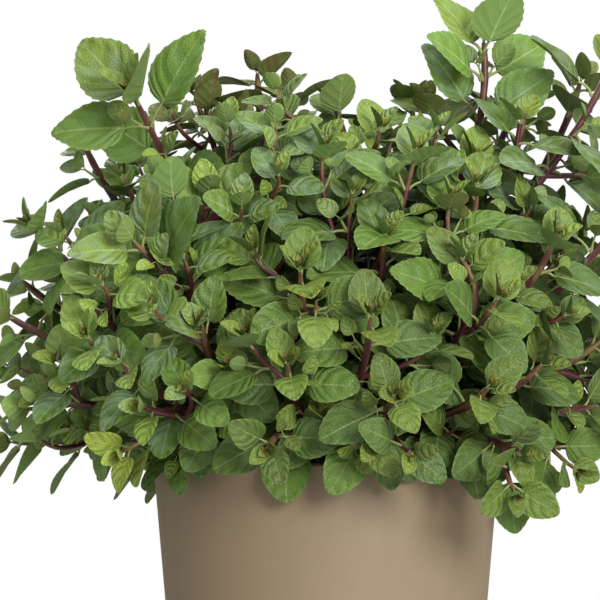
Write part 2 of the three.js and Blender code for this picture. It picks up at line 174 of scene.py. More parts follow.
# A repeatable number from 0 to 1 for whole numbers, the same as the model's
def chance(*draws):
    h = 2166136261
    for n in draws:
        h = ((h ^ n) * 16777619) & 0xFFFFFFFF
        h ^= h >> 15
        h = (h * 2246822507) & 0xFFFFFFFF
        h ^= h >> 13
    return h / 4294967296


def lengthOf(v):
    return math.sqrt(v @ v)


def unit(v):
    return v / lengthOf(v)


def cross(a, b):
    return np.array((a[1] * b[2] - a[2] * b[1], a[2] * b[0] - a[0] * b[2], a[0] * b[1] - a[1] * b[0]))


# A value between two ends, at a share of the way
def between(ends, share):
    return ends[0] + (ends[1] - ends[0]) * share


def potRadius(z):
    return pot["footRadius"] + (pot["rimRadius"] - pot["footRadius"]) * z / pot["height"]


# The tips at the back, which the photo doesn't show: spread from one side to the other, at heights that don't
# repeat
backTips = {"count": 15, "around": (8, 172), "firstHeight": 0.35, "heightStep": 0.618034, "lowest": 190,
            "highest": 380, "widest": 215, "spread": (0.9, 0.4), "up": (0.1, 0.9), "leaf": (27, 34)}


def backTip(i):
    b = backTips
    around = math.radians(b["around"][0] + (b["around"][1] - b["around"][0]) * (i + 0.5) / b["count"])
    high = (b["firstHeight"] + i * b["heightStep"]) % 1
    z = between((b["lowest"], b["highest"]), high)
    ring = math.sqrt(1 - (max(0, z - b["widest"]) / (bush["top"] / mm - b["lowest"])) ** 2)
    x, y = bush["halfWidth"] / mm * ring * math.cos(around), bush["halfDepth"] / mm * ring * math.sin(around)
    spread = between(b["spread"], high)
    return {
        "tip": (x, y, z),
        "lean": (spread * math.cos(around), spread * math.sin(around), between(b["up"], high)),
        "leaf": between(b["leaf"], chance(i, 3, 5)),
        "turn": 90 * chance(i, 4, 5),
    }


# Points on a Bezier curve
def bezier(controls, shares):
    t = np.asarray(shares, float)[:, None]
    n = len(controls) - 1
    return sum(math.comb(n, k) * (1 - t) ** (n - k) * t ** k * controls[k] for k in range(n + 1))


# Rings at even shares of a curve's length: the middle, the axis, the direction of one face and half the width
# of each
def ringsAlong(controls, sizes, turn, stepLength=None):
    ts = np.linspace(0, 1, 201)
    walked = np.concatenate([[0], np.cumsum(np.linalg.norm(np.diff(bezier(controls, ts), axis=0), axis=1))])
    length = walked[-1]
    steps = max(3, math.floor(length / (stepLength or sizes["stepLength"]) + 0.5))
    at = np.interp(np.linspace(0, 1, steps + 1) * length, walked, ts)
    step = 1e-4
    ahead = bezier(controls, np.minimum(at + step, 1)) - bezier(controls, np.maximum(at - step, 0))
    axes = ahead / np.linalg.norm(ahead, axis=1)[:, None]
    side = sideways(axes[-1], turn)
    sides = []
    for axis in axes[::-1]:
        side = squareTo(axis, side)
        sides.append(side)
    return {
        "centres": bezier(controls, at),
        "axes": axes,
        "sides": np.array(sides[::-1]),
        "halves": sizes["halfWidth"] * (1 + (sizes["tipShare"] - 1) * np.linspace(0, 1, steps + 1)),
        "length": length,
    }


# The part of a direction that is square to an axis
def squareTo(axis, v):
    return unit(v - axis * (v @ axis))


# The direction square to a stem's axis, at an angle from the one that lies most nearly left to right
def sideways(axis, angle):
    level = unit(np.array((1.0, 0, 0)) - axis * axis[0])
    return level * math.cos(angle) + cross(axis, level) * math.sin(angle)


# A place on a stem, at a share of its length
def placeAlong(rings, share):
    last = len(rings["centres"]) - 1
    i = max(0, min(last - 1, math.floor(share * last)))
    low, high = rings["centres"][i], rings["centres"][i + 1]
    axis = unit(high - low)
    return {
        "centre": low + (high - low) * (share * last - i),
        "axis": axis,
        "side": squareTo(axis, rings["sides"][i + 1]),
        "half": rings["halves"][i],
    }


# A place on a stem, at a distance back from its tip, and how far back each of its rings lies
def placeBack(rings, back):
    return placeAlong(rings, 1 - back / rings["length"])


def backsOf(rings):
    return rings["length"] * np.linspace(1, 0, len(rings["centres"]))


def outward(spot, angle):
    return spot["side"] * math.cos(angle) + cross(spot["axis"], spot["side"]) * math.sin(angle)


# A main stem's curve: straight up out of the soil, over the rim where the tip is beyond it, and on in its
# direction
def stemCurve(root, tip, lean, sway):
    start = np.array((root[0], root[1], soilZ))
    end = np.array(tip) * mm
    chord = np.linalg.norm(end - start)
    beyondRim = math.hypot(end[0], end[1]) > pot["rimRadius"]
    side = unit(np.array((end[1] - start[1], start[0] - end[0], 0))) * sway * mm
    riseZ = max(start[2] + mainStem["rise"] * chord, pot["height"] + mainStem["overRim"] if beyondRim else 0)
    approach = end - unit(np.array(lean, float)) * mainStem["approach"] * chord + side
    return [start, np.array((start[0], start[1], riseZ)), approach, end]


def sideCurve(spot, angle, length):
    out, start = outward(spot, angle), spot["centre"]
    bend = start + out * sideStem["bendOut"] * length + spot["axis"] * sideStem["bendUp"] * length
    return [start, bend, start + out * sideStem["end"] * length + spot["axis"] * sideStem["end"] * length]


# Half a blade's width at a share of its length, as a share of its widest
def ovate(s):
    return math.sqrt(max(0, 1 - (2 * s ** 0.8 - 1) ** 2)) * (1 - 0.2 * s ** 3)


# How high a blade's midrib lies at a share of its length, as a share of its arch: it rises a little, then
# drops
def archAt(s, drop=1):
    return 0.35 * s - drop * s * s


def lightAt(place, z):
    return unit(np.array((place[0] / light["width"], (place[1] - light["middleY"]) / light["depth"], z)))


# How a leaf lies: the directions along it, across it and out of its upper face, as columns
def leafBasis(spot, angle, lean, toLight, lightZ):
    axis, out, lit = spot["axis"], outward(spot, angle), lightAt(spot["centre"], lightZ)
    along = axis * math.cos(lean) + out * math.sin(lean)
    along = unit(along - lit * toLight * (along @ lit))
    least, most = light["alongStem"]
    alongAxis = min(most, max(least, along @ axis))
    along = squareTo(axis, along) * math.sqrt(1 - alongAxis ** 2) + axis * alongAxis
    face = axis * math.sin(lean) - out * math.cos(lean) + lit * light["faceTurn"] * toLight
    face = unit(face - along * (face @ along))
    return np.column_stack((along, cross(face, along), face))


# The points of the model's leaf that show where it lies: its tip and its edge points
def modelLeafPoints(length, stalk, edgePoints):
    neck = blade["neckGap"] + stalk * length
    points = [(neck + length, 0, archAt(1) * length * blade["arch"])]
    for i in range(1, edgePoints + 1):
        s = (i - 0.45) / (edgePoints + 0.35)
        reach = blade["widthShare"] * length * ovate(s) * (1 if i % 2 else 1 - blade["toothDepth"])
        lift = length * blade["arch"] * archAt(s) + blade["fold"] * reach
        points += [(neck + s * length, reach, lift), (neck + s * length, -reach, lift)]
    return np.array(points)


# What is placed so far, for growing clear of it: each piece's owner, its faces, its faces without the stalk,
# its box
mostPieces = 12000
placed = {
    "owner": [], "whole": [], "free": [], "low": np.zeros((mostPieces, 3)), "high": np.zeros((mostPieces, 3)),
}


def facesOf(corners, faces):
    return BVHTree.FromPolygons([tuple(c) for c in corners], faces)


def place(owner, corners, faces, freeFaces=None):
    n = len(placed["owner"])
    placed["owner"].append(owner)
    placed["whole"].append(facesOf(corners, faces))
    placed["free"].append(facesOf(corners, freeFaces) if freeFaces else placed["whole"][-1])
    placed["low"][n] = corners.min(0)
    placed["high"][n] = corners.max(0)


# Whether a piece lies clear of all that is placed. Of its own plant, a stem passes the stems that it grows
# out of, and a leaf's stalk passes everything.
def isClear(owner, corners, faces, freeFaces=None):
    n = len(placed["owner"])
    low, high = corners.min(0), corners.max(0)
    near = np.flatnonzero(np.all((placed["low"][:n] <= high) & (placed["high"][:n] >= low), axis=1))
    if not len(near):
        return True
    whole = facesOf(corners, faces)
    free = facesOf(corners, freeFaces) if freeFaces else whole
    for k in near:
        if placed["owner"][k] != owner:
            touches = whole.overlap(placed["whole"][k])
        elif freeFaces or placed["free"][k] is not placed["whole"][k]:
            touches = free.overlap(placed["free"][k])
        else:
            touches = False
        if touches:
            return False
    return True


# A plain square tube through a stem's rings, for what grows past it
def tubeOf(rings, spare=0.0):
    corners = []
    for centre, axis, side, half in zip(rings["centres"], rings["axes"], rings["sides"], rings["halves"]):
        across = cross(axis, side)
        for x, y in ((-1, -1), (1, -1), (1, 1), (-1, 1)):
            corners.append(centre + (side * x + across * y) * (half + spare))
    faces = []
    for ring in range(len(rings["centres"]) - 1):
        for i in range(4):
            a, b = 4 * ring + i, 4 * ring + (i + 1) % 4
            faces.append((a, b, b + 4, a + 4))
    return np.array(corners), faces


# A plain leaf with its stalk, for what grows past it: its corners for a blade of length 1, the stalk's start
# first
def plainLeaf():
    shares = [0, 0.14, 0.36, 0.6, 0.82, 1]
    corners = [(-0.3, 0.02, 0), (-0.3, -0.02, 0)]
    corners += [(s, 0, blade["arch"] * archAt(s)) for s in shares]
    for side in (1, -1):
        for s in shares[1:-1]:
            reach = 1.03 * blade["widthShare"] * ovate(s)
            corners.append((s, side * reach, blade["arch"] * archAt(s) + blade["fold"] * reach))
    rib, tip = [2 + i for i in range(5)], 7
    bladeFaces = []
    for side in (0, 1):
        rim = [8 + 4 * side + i for i in range(4)]
        bladeFaces.append((rib[0], rib[1], rim[0]))
        bladeFaces += [(rib[i + 1], rib[i + 2], rim[i + 1], rim[i]) for i in range(3)]
        bladeFaces.append((rib[4], tip, rim[3]))
    return np.array(corners), bladeFaces, bladeFaces + [(0, 1, rib[0])]


plainCorners, plainBlade, plainWhole = plainLeaf()


# The plain leaf where a leaf lies, with its stalk from just outside its stem
def leafCorners(spot, basis, length, neckOffset):
    corners = plainCorners * length
    corners[:2, 0] = min(0, spot["half"] * 1.3 - neckOffset)
    corners[:, 0] += neckOffset
    return corners @ basis.T + spot["centre"]


# How low a leaf may hang: above the soil in the pot, lower over its rim, and higher again far out
hanging = {"overSoil": 3 * mm, "nearRim": 146 * mm, "farOut": 128 * mm, "far": 184 * mm}


def lowestLeaf(x, y):
    out = math.hypot(x, y)
    if out < pot["rimRadius"]:
        return soilZ + hanging["overSoil"]
    return hanging["nearRim"] if out < hanging["farOut"] else hanging["far"]


# Whether a leaf hangs no lower than it may, stays near the model's box and lies clear
def leafFits(plant, form, corners):
    lowest = form.get("lowest", lowestLeaf(*corners[:, :2].mean(0)))
    if corners[:, 2].min() < lowest or np.any(corners < leafBox[0]) or np.any(corners > leafBox[1]):
        return False
    return isClear(plant["name"], corners, plainWhole, plainBlade)


# Puts a leaf on its plant: it is the first of the tries that fits, and it is left out if none does
def addLeaf(plant, spot, angle, lean, form, tries, test=True):
    for turnBy, leanBy, size in tries:
        length = form["length"] * size
        basis = leafBasis(spot, angle + math.radians(turnBy), lean + math.radians(leanBy), form["toLight"],
                          form.get("lightZ", light["up"]))
        neckOffset = blade["neckGap"] + form["stalk"] * length
        corners = leafCorners(spot, basis, length, neckOffset)
        if test and not leafFits(plant, form, corners):
            continue
        place(plant["name"], corners, plainWhole, plainBlade)
        neck = spot["centre"] + basis[:, 0] * neckOffset
        plant["leaves"].append({**form, "spot": spot, "basis": basis, "length": length, "neck": neck})
        return True
    return False


# Rings about the pot's axis, from a profile of radius and height: their corners and the faces between them
def turnedRings(profile, sides):
    arounds = [2 * math.pi * k / sides for k in range(sides)]
    corners = [(r * math.cos(a), r * math.sin(a), z) for r, z in profile for a in arounds]
    faces = []
    for row in range(len(profile) - 1):
        for k in range(sides):
            a, b = row * sides + k, row * sides + (k + 1) % sides
            faces.append((a, b, b + sides, a + sides))
    return corners, faces


# The pot's wall as a plain obstacle
def placePot():
    rim, wall = pot["rimRadius"], pot["wall"]
    profile = [(pot["footRadius"], 0), (rim, pot["height"]), (rim - wall, pot["height"]),
               (potRadius(soilZ) - wall, soilZ)]
    corners, faces = turnedRings(profile, 48)
    place("pot", np.array(corners), faces)


def surfaceOf(node):
    mesh = frame["nodes"][node].data
    return BVHTree.FromPolygons([v.co for v in mesh.vertices], [tuple(p.vertices) for p in mesh.polygons])


def distancesTo(surface, points):
    return np.array([surface.find_nearest(Vector(p))[3] for p in points])


# Finds the model's stems: each one's foot in its node, and the sway and side stem whose corners lie on its
# surface
def findStems():
    tips = frontTips + [backTip(i) for i in range(backTips["count"])]
    plants = []
    for i, tip in enumerate(tips):
        node = f"leafy_stem_{i + 1:02d}"
        points = np.array([v.co for v in frame["nodes"][node].data.vertices])
        foot = points[points[:, 2] < points[:, 2].min() + mm]
        root = (foot.min(0) + foot.max(0)) / 2
        surface, turn = surfaceOf(node), math.radians(tip["turn"])
        found = []
        for sway in swayTries:
            controls = stemCurve(root, tip["tip"], tip["lean"], sway)
            rings = ringsAlong(controls, mainStem, turn)
            found.append((distancesTo(surface, tubeOf(rings)[0]).mean(), controls, rings))
        _, controls, rings = min(found, key=lambda f: f[0])
        plants.append({
            "name": node, "number": i, "tip": tip, "surface": surface, "rings": rings,
            "smooth": ringsAlong(controls, mainStem, turn, mainStem["smoothStep"]),
            "leaves": [], "lines": [], "bronze": tip.get("bronze", 0.0),
        })
    return plants


def findSideStem(plant):
    i, turn = plant["number"], math.radians(sideStem["faceTurn"])
    if chance(i, 1, 9) > sideStem["share"]:
        return
    spot = placeAlong(plant["rings"], sideStem["start"] + sideStem["startSpread"] * chance(i, 2, 9))
    firstTurn = 90 * math.floor(4 * chance(i, 3, 9))
    for turnBy in (0, 90, 180, 270):
        controls = sideCurve(spot, math.radians(firstTurn + turnBy), sideStem["length"])
        rings = ringsAlong(controls, sideStem, turn)
        if distancesTo(plant["surface"], tubeOf(rings)[0][4:]).mean() < onModel:
            smooth = ringsAlong(controls, sideStem, turn, sideStem["smoothStep"])
            plant["side"] = {"rings": rings, "smooth": smooth}
            return


# Puts a leaf wherever the model has one, by finding which of the tries its surface shows
def findLeaves(plant, stemNumber, rings, pairs, tip):
    largest, topPair, lightZ = tip["leaf"] * mm, tip.get("topPair"), tip.get("lightZ", light["up"])
    for pairNumber, pair in enumerate(pairs):
        back = pair["back"] * mm
        if tip["leaf"] < pair.get("onlyOver", 0) or back > rings["length"]:
            continue
        pairLength = largest * (topPair if pairNumber == 1 and topPair else pair["size"])
        spot = placeBack(rings, back)
        for end in (0, 1):
            drawn = [chance(stemNumber * 16 + pairNumber * 2 + end, what, 7) - 0.5 for what in range(4)]
            for turnBy, leanBy, size in leafTries:
                length = pairLength * size * (1 + modelScatter["size"] * drawn[1])
                angle = math.radians(90 * pairNumber + 180 * end + modelScatter["turn"] * drawn[2] + turnBy)
                lean = math.radians(pair["lean"] + modelScatter["lean"] * drawn[3] + leanBy)
                basis = leafBasis(spot, angle, lean, pair["toLight"], lightZ)
                points = modelLeafPoints(length, pair["stalk"], pair["edgePoints"]) @ basis.T + spot["centre"]
                if distancesTo(plant["surface"], points).max() > onModel:
                    continue
                form = {**pairForm(pair, 1), "length": length, "lightZ": lightZ}
                addLeaf(plant, spot, angle, lean, form, asDrawn, test=False)
                break


# What a pair gives to its leaves, for a stem whose largest are of the length given
def pairForm(pair, largest):
    return {"length": largest * pair["size"], **{key: pair[key] for key in ("stalk", "toLight", "age")}}


# Tries for the leaves that only this script grows: more turns, since nothing else fixes where they lie
freeTries = asDrawn + [
    (16, 0, 1), (-16, 0, 1), (0, -16, 1), (30, 6, 0.95), (-30, 6, 0.95), (0, 14, 0.92), (44, -8, 0.9),
    (-44, -8, 0.9), (14, -24, 0.85), (-14, -24, 0.85), (22, 20, 0.8), (-22, 20, 0.8), (0, -34, 0.75),
    (50, 10, 0.7), (-50, 10, 0.7), (0, 0, 0.6),
]

# The shoots that fill the bush: how their tips spread over a rounded shell, outside and within, under the
# crown's line
filling = {
    "spacing": 31 * mm, "centreZ": 222 * mm, "halfWidth": 172 * mm, "halfDepth": 140 * mm, "rise": 158 * mm,
    "drop": 46 * mm, "lowest": -0.55, "outer": (0.78, 1.0), "inner": (0.45, 0.68), "apart": 24 * mm,
    "scatter": 12, "leaf": (23, 30), "frontOf": 30 * mm, "underCrown": 14 * mm, "crownDepth": 20 * mm,
    "crownFlat": 14 * mm, "crownSlope": 1.15, "shellShare": 1.5, "leanOut": 0.8, "leanFrom": 0.16,
    "leanUp": 0.5, "leanLift": 0.07,
}
# Where the numbers of the shoots start, from which their random draws follow
firstNumbers = {"outer": 200, "inner": 600, "photo": 900, "mainAxils": 4000}
# How a shoot's stem grows: where it may leave a main stem, how long it may be, how far ahead along the main
# stem its tip may lie, what a turn and a way down cost, how many places are tried, and how it may bow to get
# past others
shootStem = {
    "halfWidth": 1.5 * mm, "tipShare": 0.7, "stepLength": 4.5 * mm, "from": 0.22, "to": 0.9, "places": 18,
    "shortest": 26 * mm, "longest": 125 * mm, "ahead": 0.1, "mostAhead": 0.96, "turnCost": 40 * mm,
    "downCost": 30 * mm, "tries": 14, "bows": (0, 0.12, -0.12), "reach": 0.34, "leaveUp": 0.7,
    "spare": 0.2 * mm,
}
# The pairs of a shoot, in millimetres back from its tip, and how pairs go on down any stem. afterFour and
# afterThree are the number and the place of the next pair of a main stem, where the model has four or three.
shootPairs = [
    {"back": 0.8, "size": 0.46, "stalk": 0.12, "lean": 26, "toLight": 0.15, "age": 0.12},
    {"back": 7, "size": 0.76, "stalk": 0.18, "lean": 48, "toLight": 0.45, "age": 0.3},
    {"back": 20, "size": 1, "stalk": 0.26, "lean": 62, "toLight": 0.65, "age": 0.5},
]
lower = {
    "size": 0.97, "stalk": 0.34, "lean": 76, "toLight": 0.75, "age": 0.68, "spacing": 21 * mm,
    "nearest": 0.9, "further": 0.3, "sizeDrop": 0.03, "ageStep": 0.08, "aboveSoil": 16 * mm,
    "fromBase": 8 * mm, "firstBack": 41 * mm, "mainLeaf": 32 * mm, "afterFour": (4, 66 * mm),
    "afterThree": (3, 44 * mm),
}
# How much the leaves that only this script grows differ in size, turn and lean
freeScatter = {"size": 0.2, "turn": 24, "lean": 16}
# The small shoots in the axils. Of size, age, lean and leaning out, the first number is the least and the
# second is how much more it may be.
axil = {
    "share": 0.62, "out": 3.4 * mm, "up": 3.2 * mm, "length": (8 * mm, 14 * mm), "stem": 5 * mm,
    "half": 0.7 * mm, "halves": [0.9 * mm, 0.8 * mm, 0.6 * mm], "woody": 0.1, "tries": 9, "baseShare": 0.6,
    "leanOut": (0.5, 0.5), "twist": 0.3, "size": (0.85, 0.3), "age": (0.12, 0.15), "lean": (34, 16),
    "stalk": 0.12, "toLight": 0.2,
}
bud = {
    "sizes": (0.25, 0.15, 0.09), "leans": (16, 12, 8), "lift": (0.6 * mm, 1.6 * mm, 2.4 * mm),
    "rust": (0.1, 0.45, 0.9), "twist": 12,
}
# Shoots that the photo shows where no main stem ends. ahead and lowest take the place of the usual limits,
# and sick is how yellow and spotted the leaves are.
photoShoots = [tipFrom(*row) for row in (
    ((-166, -30, 226), (-0.9, -0.25, 0.3), 26),
    ((-160, -34, 204), (-0.9, -0.3, 0.1), 24),
    ((-84, 14, 370), (-0.2, -0.1, 1), 27, 0, {"bronze": 0.9}),
    ((-72, 34, 384), (-0.15, 0, 1), 25, 0, {"bronze": 1.0}),
    ((56, -8, 370), (-0.2, -0.1, 1), 29, 0, {"bronze": 0.6}),
    ((148, -22, 338), (0.4, -0.2, 0.8), 28, 0, {"bronze": 0.3}),
    ((92, -113, 157), (0.2, -0.8, -0.5), 28, 0, {"ahead": -0.6, "lowest": 131 * mm}),
    ((127, -58, 171), (0.5, -0.6, -0.5), 24, 0, {"ahead": -0.6, "lowest": 150 * mm}),
    ((-104, -82, 178), (-0.4, -0.7, -0.35), 24, 0, {"ahead": -0.6, "lowest": 150 * mm, "sick": 0.5}),
)]


# The highest that the crown reaches at a place across it, from the tips that the photo shows
def crownTop(x):
    flat, slope = filling["crownFlat"], filling["crownSlope"]
    return max(t["tip"][2] * mm - slope * max(0, abs(x - t["tip"][0] * mm) - flat) for t in frontTips)


# Tips spread evenly over the shell, where no tip is yet
def fillerTips(taken, layer):
    f, depths, first = filling, filling[layer], firstNumbers[layer]
    area = 2 * math.pi * f["halfWidth"] * f["halfDepth"] * f["shellShare"] * depths[1] ** 2
    count = round(area / f["spacing"] ** 2)
    tips = []
    for i in range(count):
        up = 1 - (1 - f["lowest"]) * (i + 0.5) / count
        around = i * math.pi * (3 - math.sqrt(5))
        flat = math.sqrt(1 - up * up)
        depth = between(depths, chance(i, 21, 5))
        rise = f["rise"] if up > 0 else f["drop"] / -f["lowest"]
        x = f["halfWidth"] * flat * math.cos(around) * depth
        y = f["halfDepth"] * flat * math.sin(around) * depth
        tip = np.array((x, y, f["centreZ"] + rise * up * depth))
        tip += (np.array([chance(i, 22, k) for k in range(3)]) - 0.5) * f["scatter"] * mm
        crown = crownTop(tip[0]) - f["underCrown"]
        if tip[1] < f["frontOf"] and tip[2] > crown:
            tip[2] = crown - f["crownDepth"] * chance(i, 23, 5)
        if any(np.linalg.norm(tip - other) < f["apart"] for other in taken):
            continue
        taken.append(tip)
        leanZ = (tip[2] - f["leanFrom"]) * f["leanUp"] + f["leanLift"]
        lean = unit(np.array((tip[0] * f["leanOut"], tip[1] * f["leanOut"], leanZ)))
        leaf = between(f["leaf"], chance(i, 24, 5))
        turn = 90 * chance(i, 25, 5)
        tips.append({"number": first + i, "tip": tip, "lean": lean, "leaf": leaf * mm, "turn": turn})
    return tips


def photoTips(taken):
    tips = []
    for i, shoot in enumerate(photoShoots):
        tip = np.array(shoot["tip"]) * mm
        taken.append(tip)
        tips.append({**shoot, "number": firstNumbers["photo"] + i, "tip": tip, "turn": 90 * chance(i, 26, 5),
                     "lean": unit(np.array(shoot["lean"], float)), "leaf": shoot["leaf"] * mm})
    return tips


# The ways to grow a shoot to a tip out of a main stem, the best first
def waysTo(plants, tip):
    s = shootStem
    ways = []
    for plant in plants:
        for share in np.linspace(s["from"], s["to"], s["places"]):
            spot = placeAlong(plant["smooth"], share)
            reach = tip["tip"] - spot["centre"]
            length = lengthOf(reach)
            if not s["shortest"] < length < s["longest"]:
                continue
            ahead = (reach @ spot["axis"]) / length
            if ahead < tip.get("ahead", s["ahead"]) or ahead > s["mostAhead"]:
                continue
            cost = length + s["turnCost"] * (1 - ahead) + s["downCost"] * max(0, -reach[2] / length)
            ways.append((cost, plant, spot, reach))
    ways.sort(key=lambda w: w[0])
    return ways[:s["tries"]]


# Grows a shoot to a tip by the best way that is clear of all that is there
def growShoot(plants, tip):
    s = shootStem
    inside = 8  # corners and faces of the first rings, which lie in the main stem
    for _, plant, spot, reach in waysTo(plants, tip):
        length = lengthOf(reach)
        out = unit(reach - spot["axis"] * (reach @ spot["axis"]))
        leave = unit(out + spot["axis"] * s["leaveUp"])
        for bow in s["bows"]:
            side = cross(unit(reach), spot["axis"]) * bow * length
            controls = [spot["centre"], spot["centre"] + leave * s["reach"] * length + side,
                        tip["tip"] - tip["lean"] * s["reach"] * length + side, tip["tip"]]
            rings = ringsAlong(controls, s, math.radians(tip["turn"]))
            corners, faces = tubeOf(rings, s["spare"])
            faces = [tuple(k - inside for k in face) for face in faces[inside:]]
            if not isClear(plant["name"], corners[inside:], faces):
                continue
            place(plant["name"], *tubeOf(rings))
            own = {key: tip[key] for key in ("bronze", "sick", "lowest") if key in tip}
            return plant, {"rings": rings, "number": tip["number"], "leaf": tip["leaf"], "own": own}
    return None


# The leaves at one joint of a stem, and the small shoots in their axils
def growJoint(plant, rings, number, pairNumber, back, form, lean, withAxils=True):
    spot = placeBack(rings, back)
    for end in (0, 1):
        drawn = [chance(number * 32 + pairNumber * 2 + end, what, 17) - 0.5 for what in range(6)]
        angle = math.radians(90 * pairNumber + 180 * end + freeScatter["turn"] * drawn[2])
        sized = {**form, "length": form["length"] * (1 + freeScatter["size"] * drawn[1])}
        leaning = math.radians(lean + freeScatter["lean"] * drawn[3])
        addLeaf(plant, spot, angle, leaning, sized, freeTries)
        if withAxils and drawn[4] + 0.5 < axil["share"]:
            growAxil(plant, spot, angle, number * 64 + pairNumber * 2 + end)


# A small shoot between a leaf's stalk and its stem: a short stem with one pair of leaves
def growAxil(plant, spot, angle, number):
    def atLeast(label, draw):
        return axil[label][0] + axil[label][1] * chance(number, draw, 31)

    out = outward(spot, angle)
    base = spot["centre"] + out * spot["half"] * axil["baseShare"]
    axis = unit(spot["axis"] + out * atLeast("leanOut", 1))
    start = spot["centre"] + out * axil["out"] + spot["axis"] * axil["up"]
    side = squareTo(axis, unit(cross(axis, out) + axil["twist"] * (chance(number, 2, 31) - 0.5) * axis))
    tip = start + axis * axil["stem"]
    small = {"centre": tip, "axis": axis, "side": side, "half": axil["half"]}
    length = between(axil["length"], chance(number, 3, 31))
    grown = 0
    for end in (0, 1):
        form = {"length": length * atLeast("size", 4 + end), "age": atLeast("age", 6 + end),
                "stalk": axil["stalk"], "toLight": axil["toLight"]}
        lean = math.radians(atLeast("lean", 8 + end))
        grown += addLeaf(plant, small, math.pi * end, lean, form, freeTries[:axil["tries"]])
    if grown:
        addLine(plant, [base, start, tip], axil["halves"], side, axil["woody"], stalk=1)


# The folded leaves of a bud, rusty at its heart
def growBud(plant, rings, leafLength, pairNumber):
    spot = placeBack(rings, 0)
    for k, (size, lean, lift, rust) in enumerate(zip(bud["sizes"], bud["leans"], bud["lift"], bud["rust"])):
        raised = {**spot, "centre": spot["centre"] + spot["axis"] * lift}
        form = {"length": leafLength * size, "stalk": 0.0, "toLight": 0.05, "age": 0.04, "rust": rust}
        for end in (0, 1):
            angle = math.radians(90 * (pairNumber + k) + 180 * end + bud["twist"] * k)
            addLeaf(plant, raised, angle, math.radians(lean), form, asDrawn, test=False)


# A stem or stalk as a line of points with its thickness at each: woody is 0 at a green tip and 1 at a brown
# base
def addLine(plant, points, halves, side, woody, stalk=0):
    n = len(points)
    plant["lines"].append({
        "points": np.array(points), "thickness": np.array(halves), "side": np.broadcast_to(side, (n, 3)),
        "woody": np.broadcast_to(woody, n), "stalk": np.full(n, stalk, float),
    })


# Grows everything that only this script adds, the shoots that fill the crown first
def fillBush(plants):
    taken = [np.array(p["tip"]["tip"]) * mm for p in plants]
    wanted = photoTips(taken) + fillerTips(taken, "outer") + fillerTips(taken, "inner")
    shoots = []
    for tip in wanted:
        grown = growShoot(plants, tip)
        if grown:
            shoots.append(grown)
            growPairs(*grown, range(2), withAxils=False)
            growBud(grown[0], grown[1]["rings"], grown[1]["leaf"], 2)
    report(f"{len(shoots)} shoots fill the bush")
    for plant, shoot in shoots:
        growPairs(plant, shoot, [2])
    for plant in plants:
        growLowerMain(plant)
    for plant, shoot in shoots:
        rings = shoot["rings"]
        growDown(plant, rings, shoot["number"], len(shootPairs), lower["firstBack"], shoot["leaf"],
                 shoot["own"])
        backs = backsOf(rings)
        halves = rings["halves"] * taper(backs, stemForm["shootTaper"])
        addLine(plant, rings["centres"], halves, rings["sides"], woodyAt(backs, *stemForm["shootWoody"]))


# Some of a shoot's own pairs
def growPairs(plant, shoot, pairNumbers, withAxils=True):
    for pairNumber in pairNumbers:
        pair = shootPairs[pairNumber]
        form = {**pairForm(pair, shoot["leaf"]), **shoot["own"]}
        back = pair["back"] * mm
        growJoint(plant, shoot["rings"], shoot["number"], pairNumber, back, form, pair["lean"], withAxils)


# A main stem's bud, its lower leaves and the shoots in the axils of the model's own leaves
def growLowerMain(plant):
    rings, leaf = plant["smooth"], plant["tip"]["leaf"]
    growBud(plant, rings, leaf * mm, 0)
    first, back = lower["afterFour"] if leaf > mainPairs[-1]["onlyOver"] else lower["afterThree"]
    growDown(plant, rings, plant["number"], first, back, min(leaf * mm, lower["mainLeaf"]), {})
    for pairNumber, pair in enumerate(mainPairs[2:]):
        spot = placeBack(rings, pair["back"] * mm)
        for end in (0, 1):
            number = plant["number"] * 8 + pairNumber * 2 + end + firstNumbers["mainAxils"]
            if chance(number, 1, 3) < axil["share"]:
                growAxil(plant, spot, math.radians(90 * pairNumber + 180 * end), number)
    if "side" in plant:
        growBud(plant, plant["side"]["smooth"], sideStem["leafShare"] * (leaf * mm), 0)


# Leaf pairs on down a stem, to just above the soil or to its parent
def growDown(plant, rings, number, pairNumber, back, leafLength, own):
    age, size = lower["age"], lower["size"]
    while back < rings["length"] - lower["fromBase"]:
        if placeBack(rings, back)["centre"][2] < soilZ + lower["aboveSoil"]:
            return
        form = {**pairForm({**lower, "size": size, "age": min(1, age)}, leafLength), **own}
        growJoint(plant, rings, number, pairNumber, back, form, lower["lean"])
        back += lower["spacing"] * (lower["nearest"] + lower["further"] * chance(number, pairNumber, 41))
        age += lower["ageStep"]
        size -= lower["sizeDrop"]
        pairNumber += 1


# How stems thicken at their joints, in millimetres back from the tip, how they taper, and how they turn
# woody: from where, over what length and how much at most. A side stem is a little woody at its tip and more
# so at its foot.
stemForm = {
    "joints": [7, 21, *range(44, 199, 22)], "jointReach": 2.2 * mm, "swelling": 0.16, "tipShare": 0.55,
    "mainTaper": 8 * mm, "shootTaper": 7 * mm, "mainWoody": (0.01, 0.2, 1),
    "shootWoody": (9 * mm, 110 * mm, 0.6), "sideWoody": (0.25, 0.2),
}
# A leaf's stalk: its bends, each at a share of its way with a share of its rise, how far it runs into the
# blade and lies under its face, and how thick it is
stalkForm = {
    "start": 0.5, "bends": ((0.35, 1), (0.72, 0.8)), "rise": (0.07, 0.08), "into": 0.07, "under": 0.008,
    "underInto": 0.004, "thinnest": 0.32 * mm, "thickest": 0.85 * mm, "thickness": 0.028,
    "shares": (1.25, 1, 0.92, 0.9, 0.5), "woody": 0.55,
}


# A stem's thickness near its tip, as a share of its own
def taper(backs, reach):
    return np.interp(backs, (0, reach), (stemForm["tipShare"], 1))


def woodyAt(backs, start, reach, most):
    return np.clip((backs - start) / reach, 0, most)


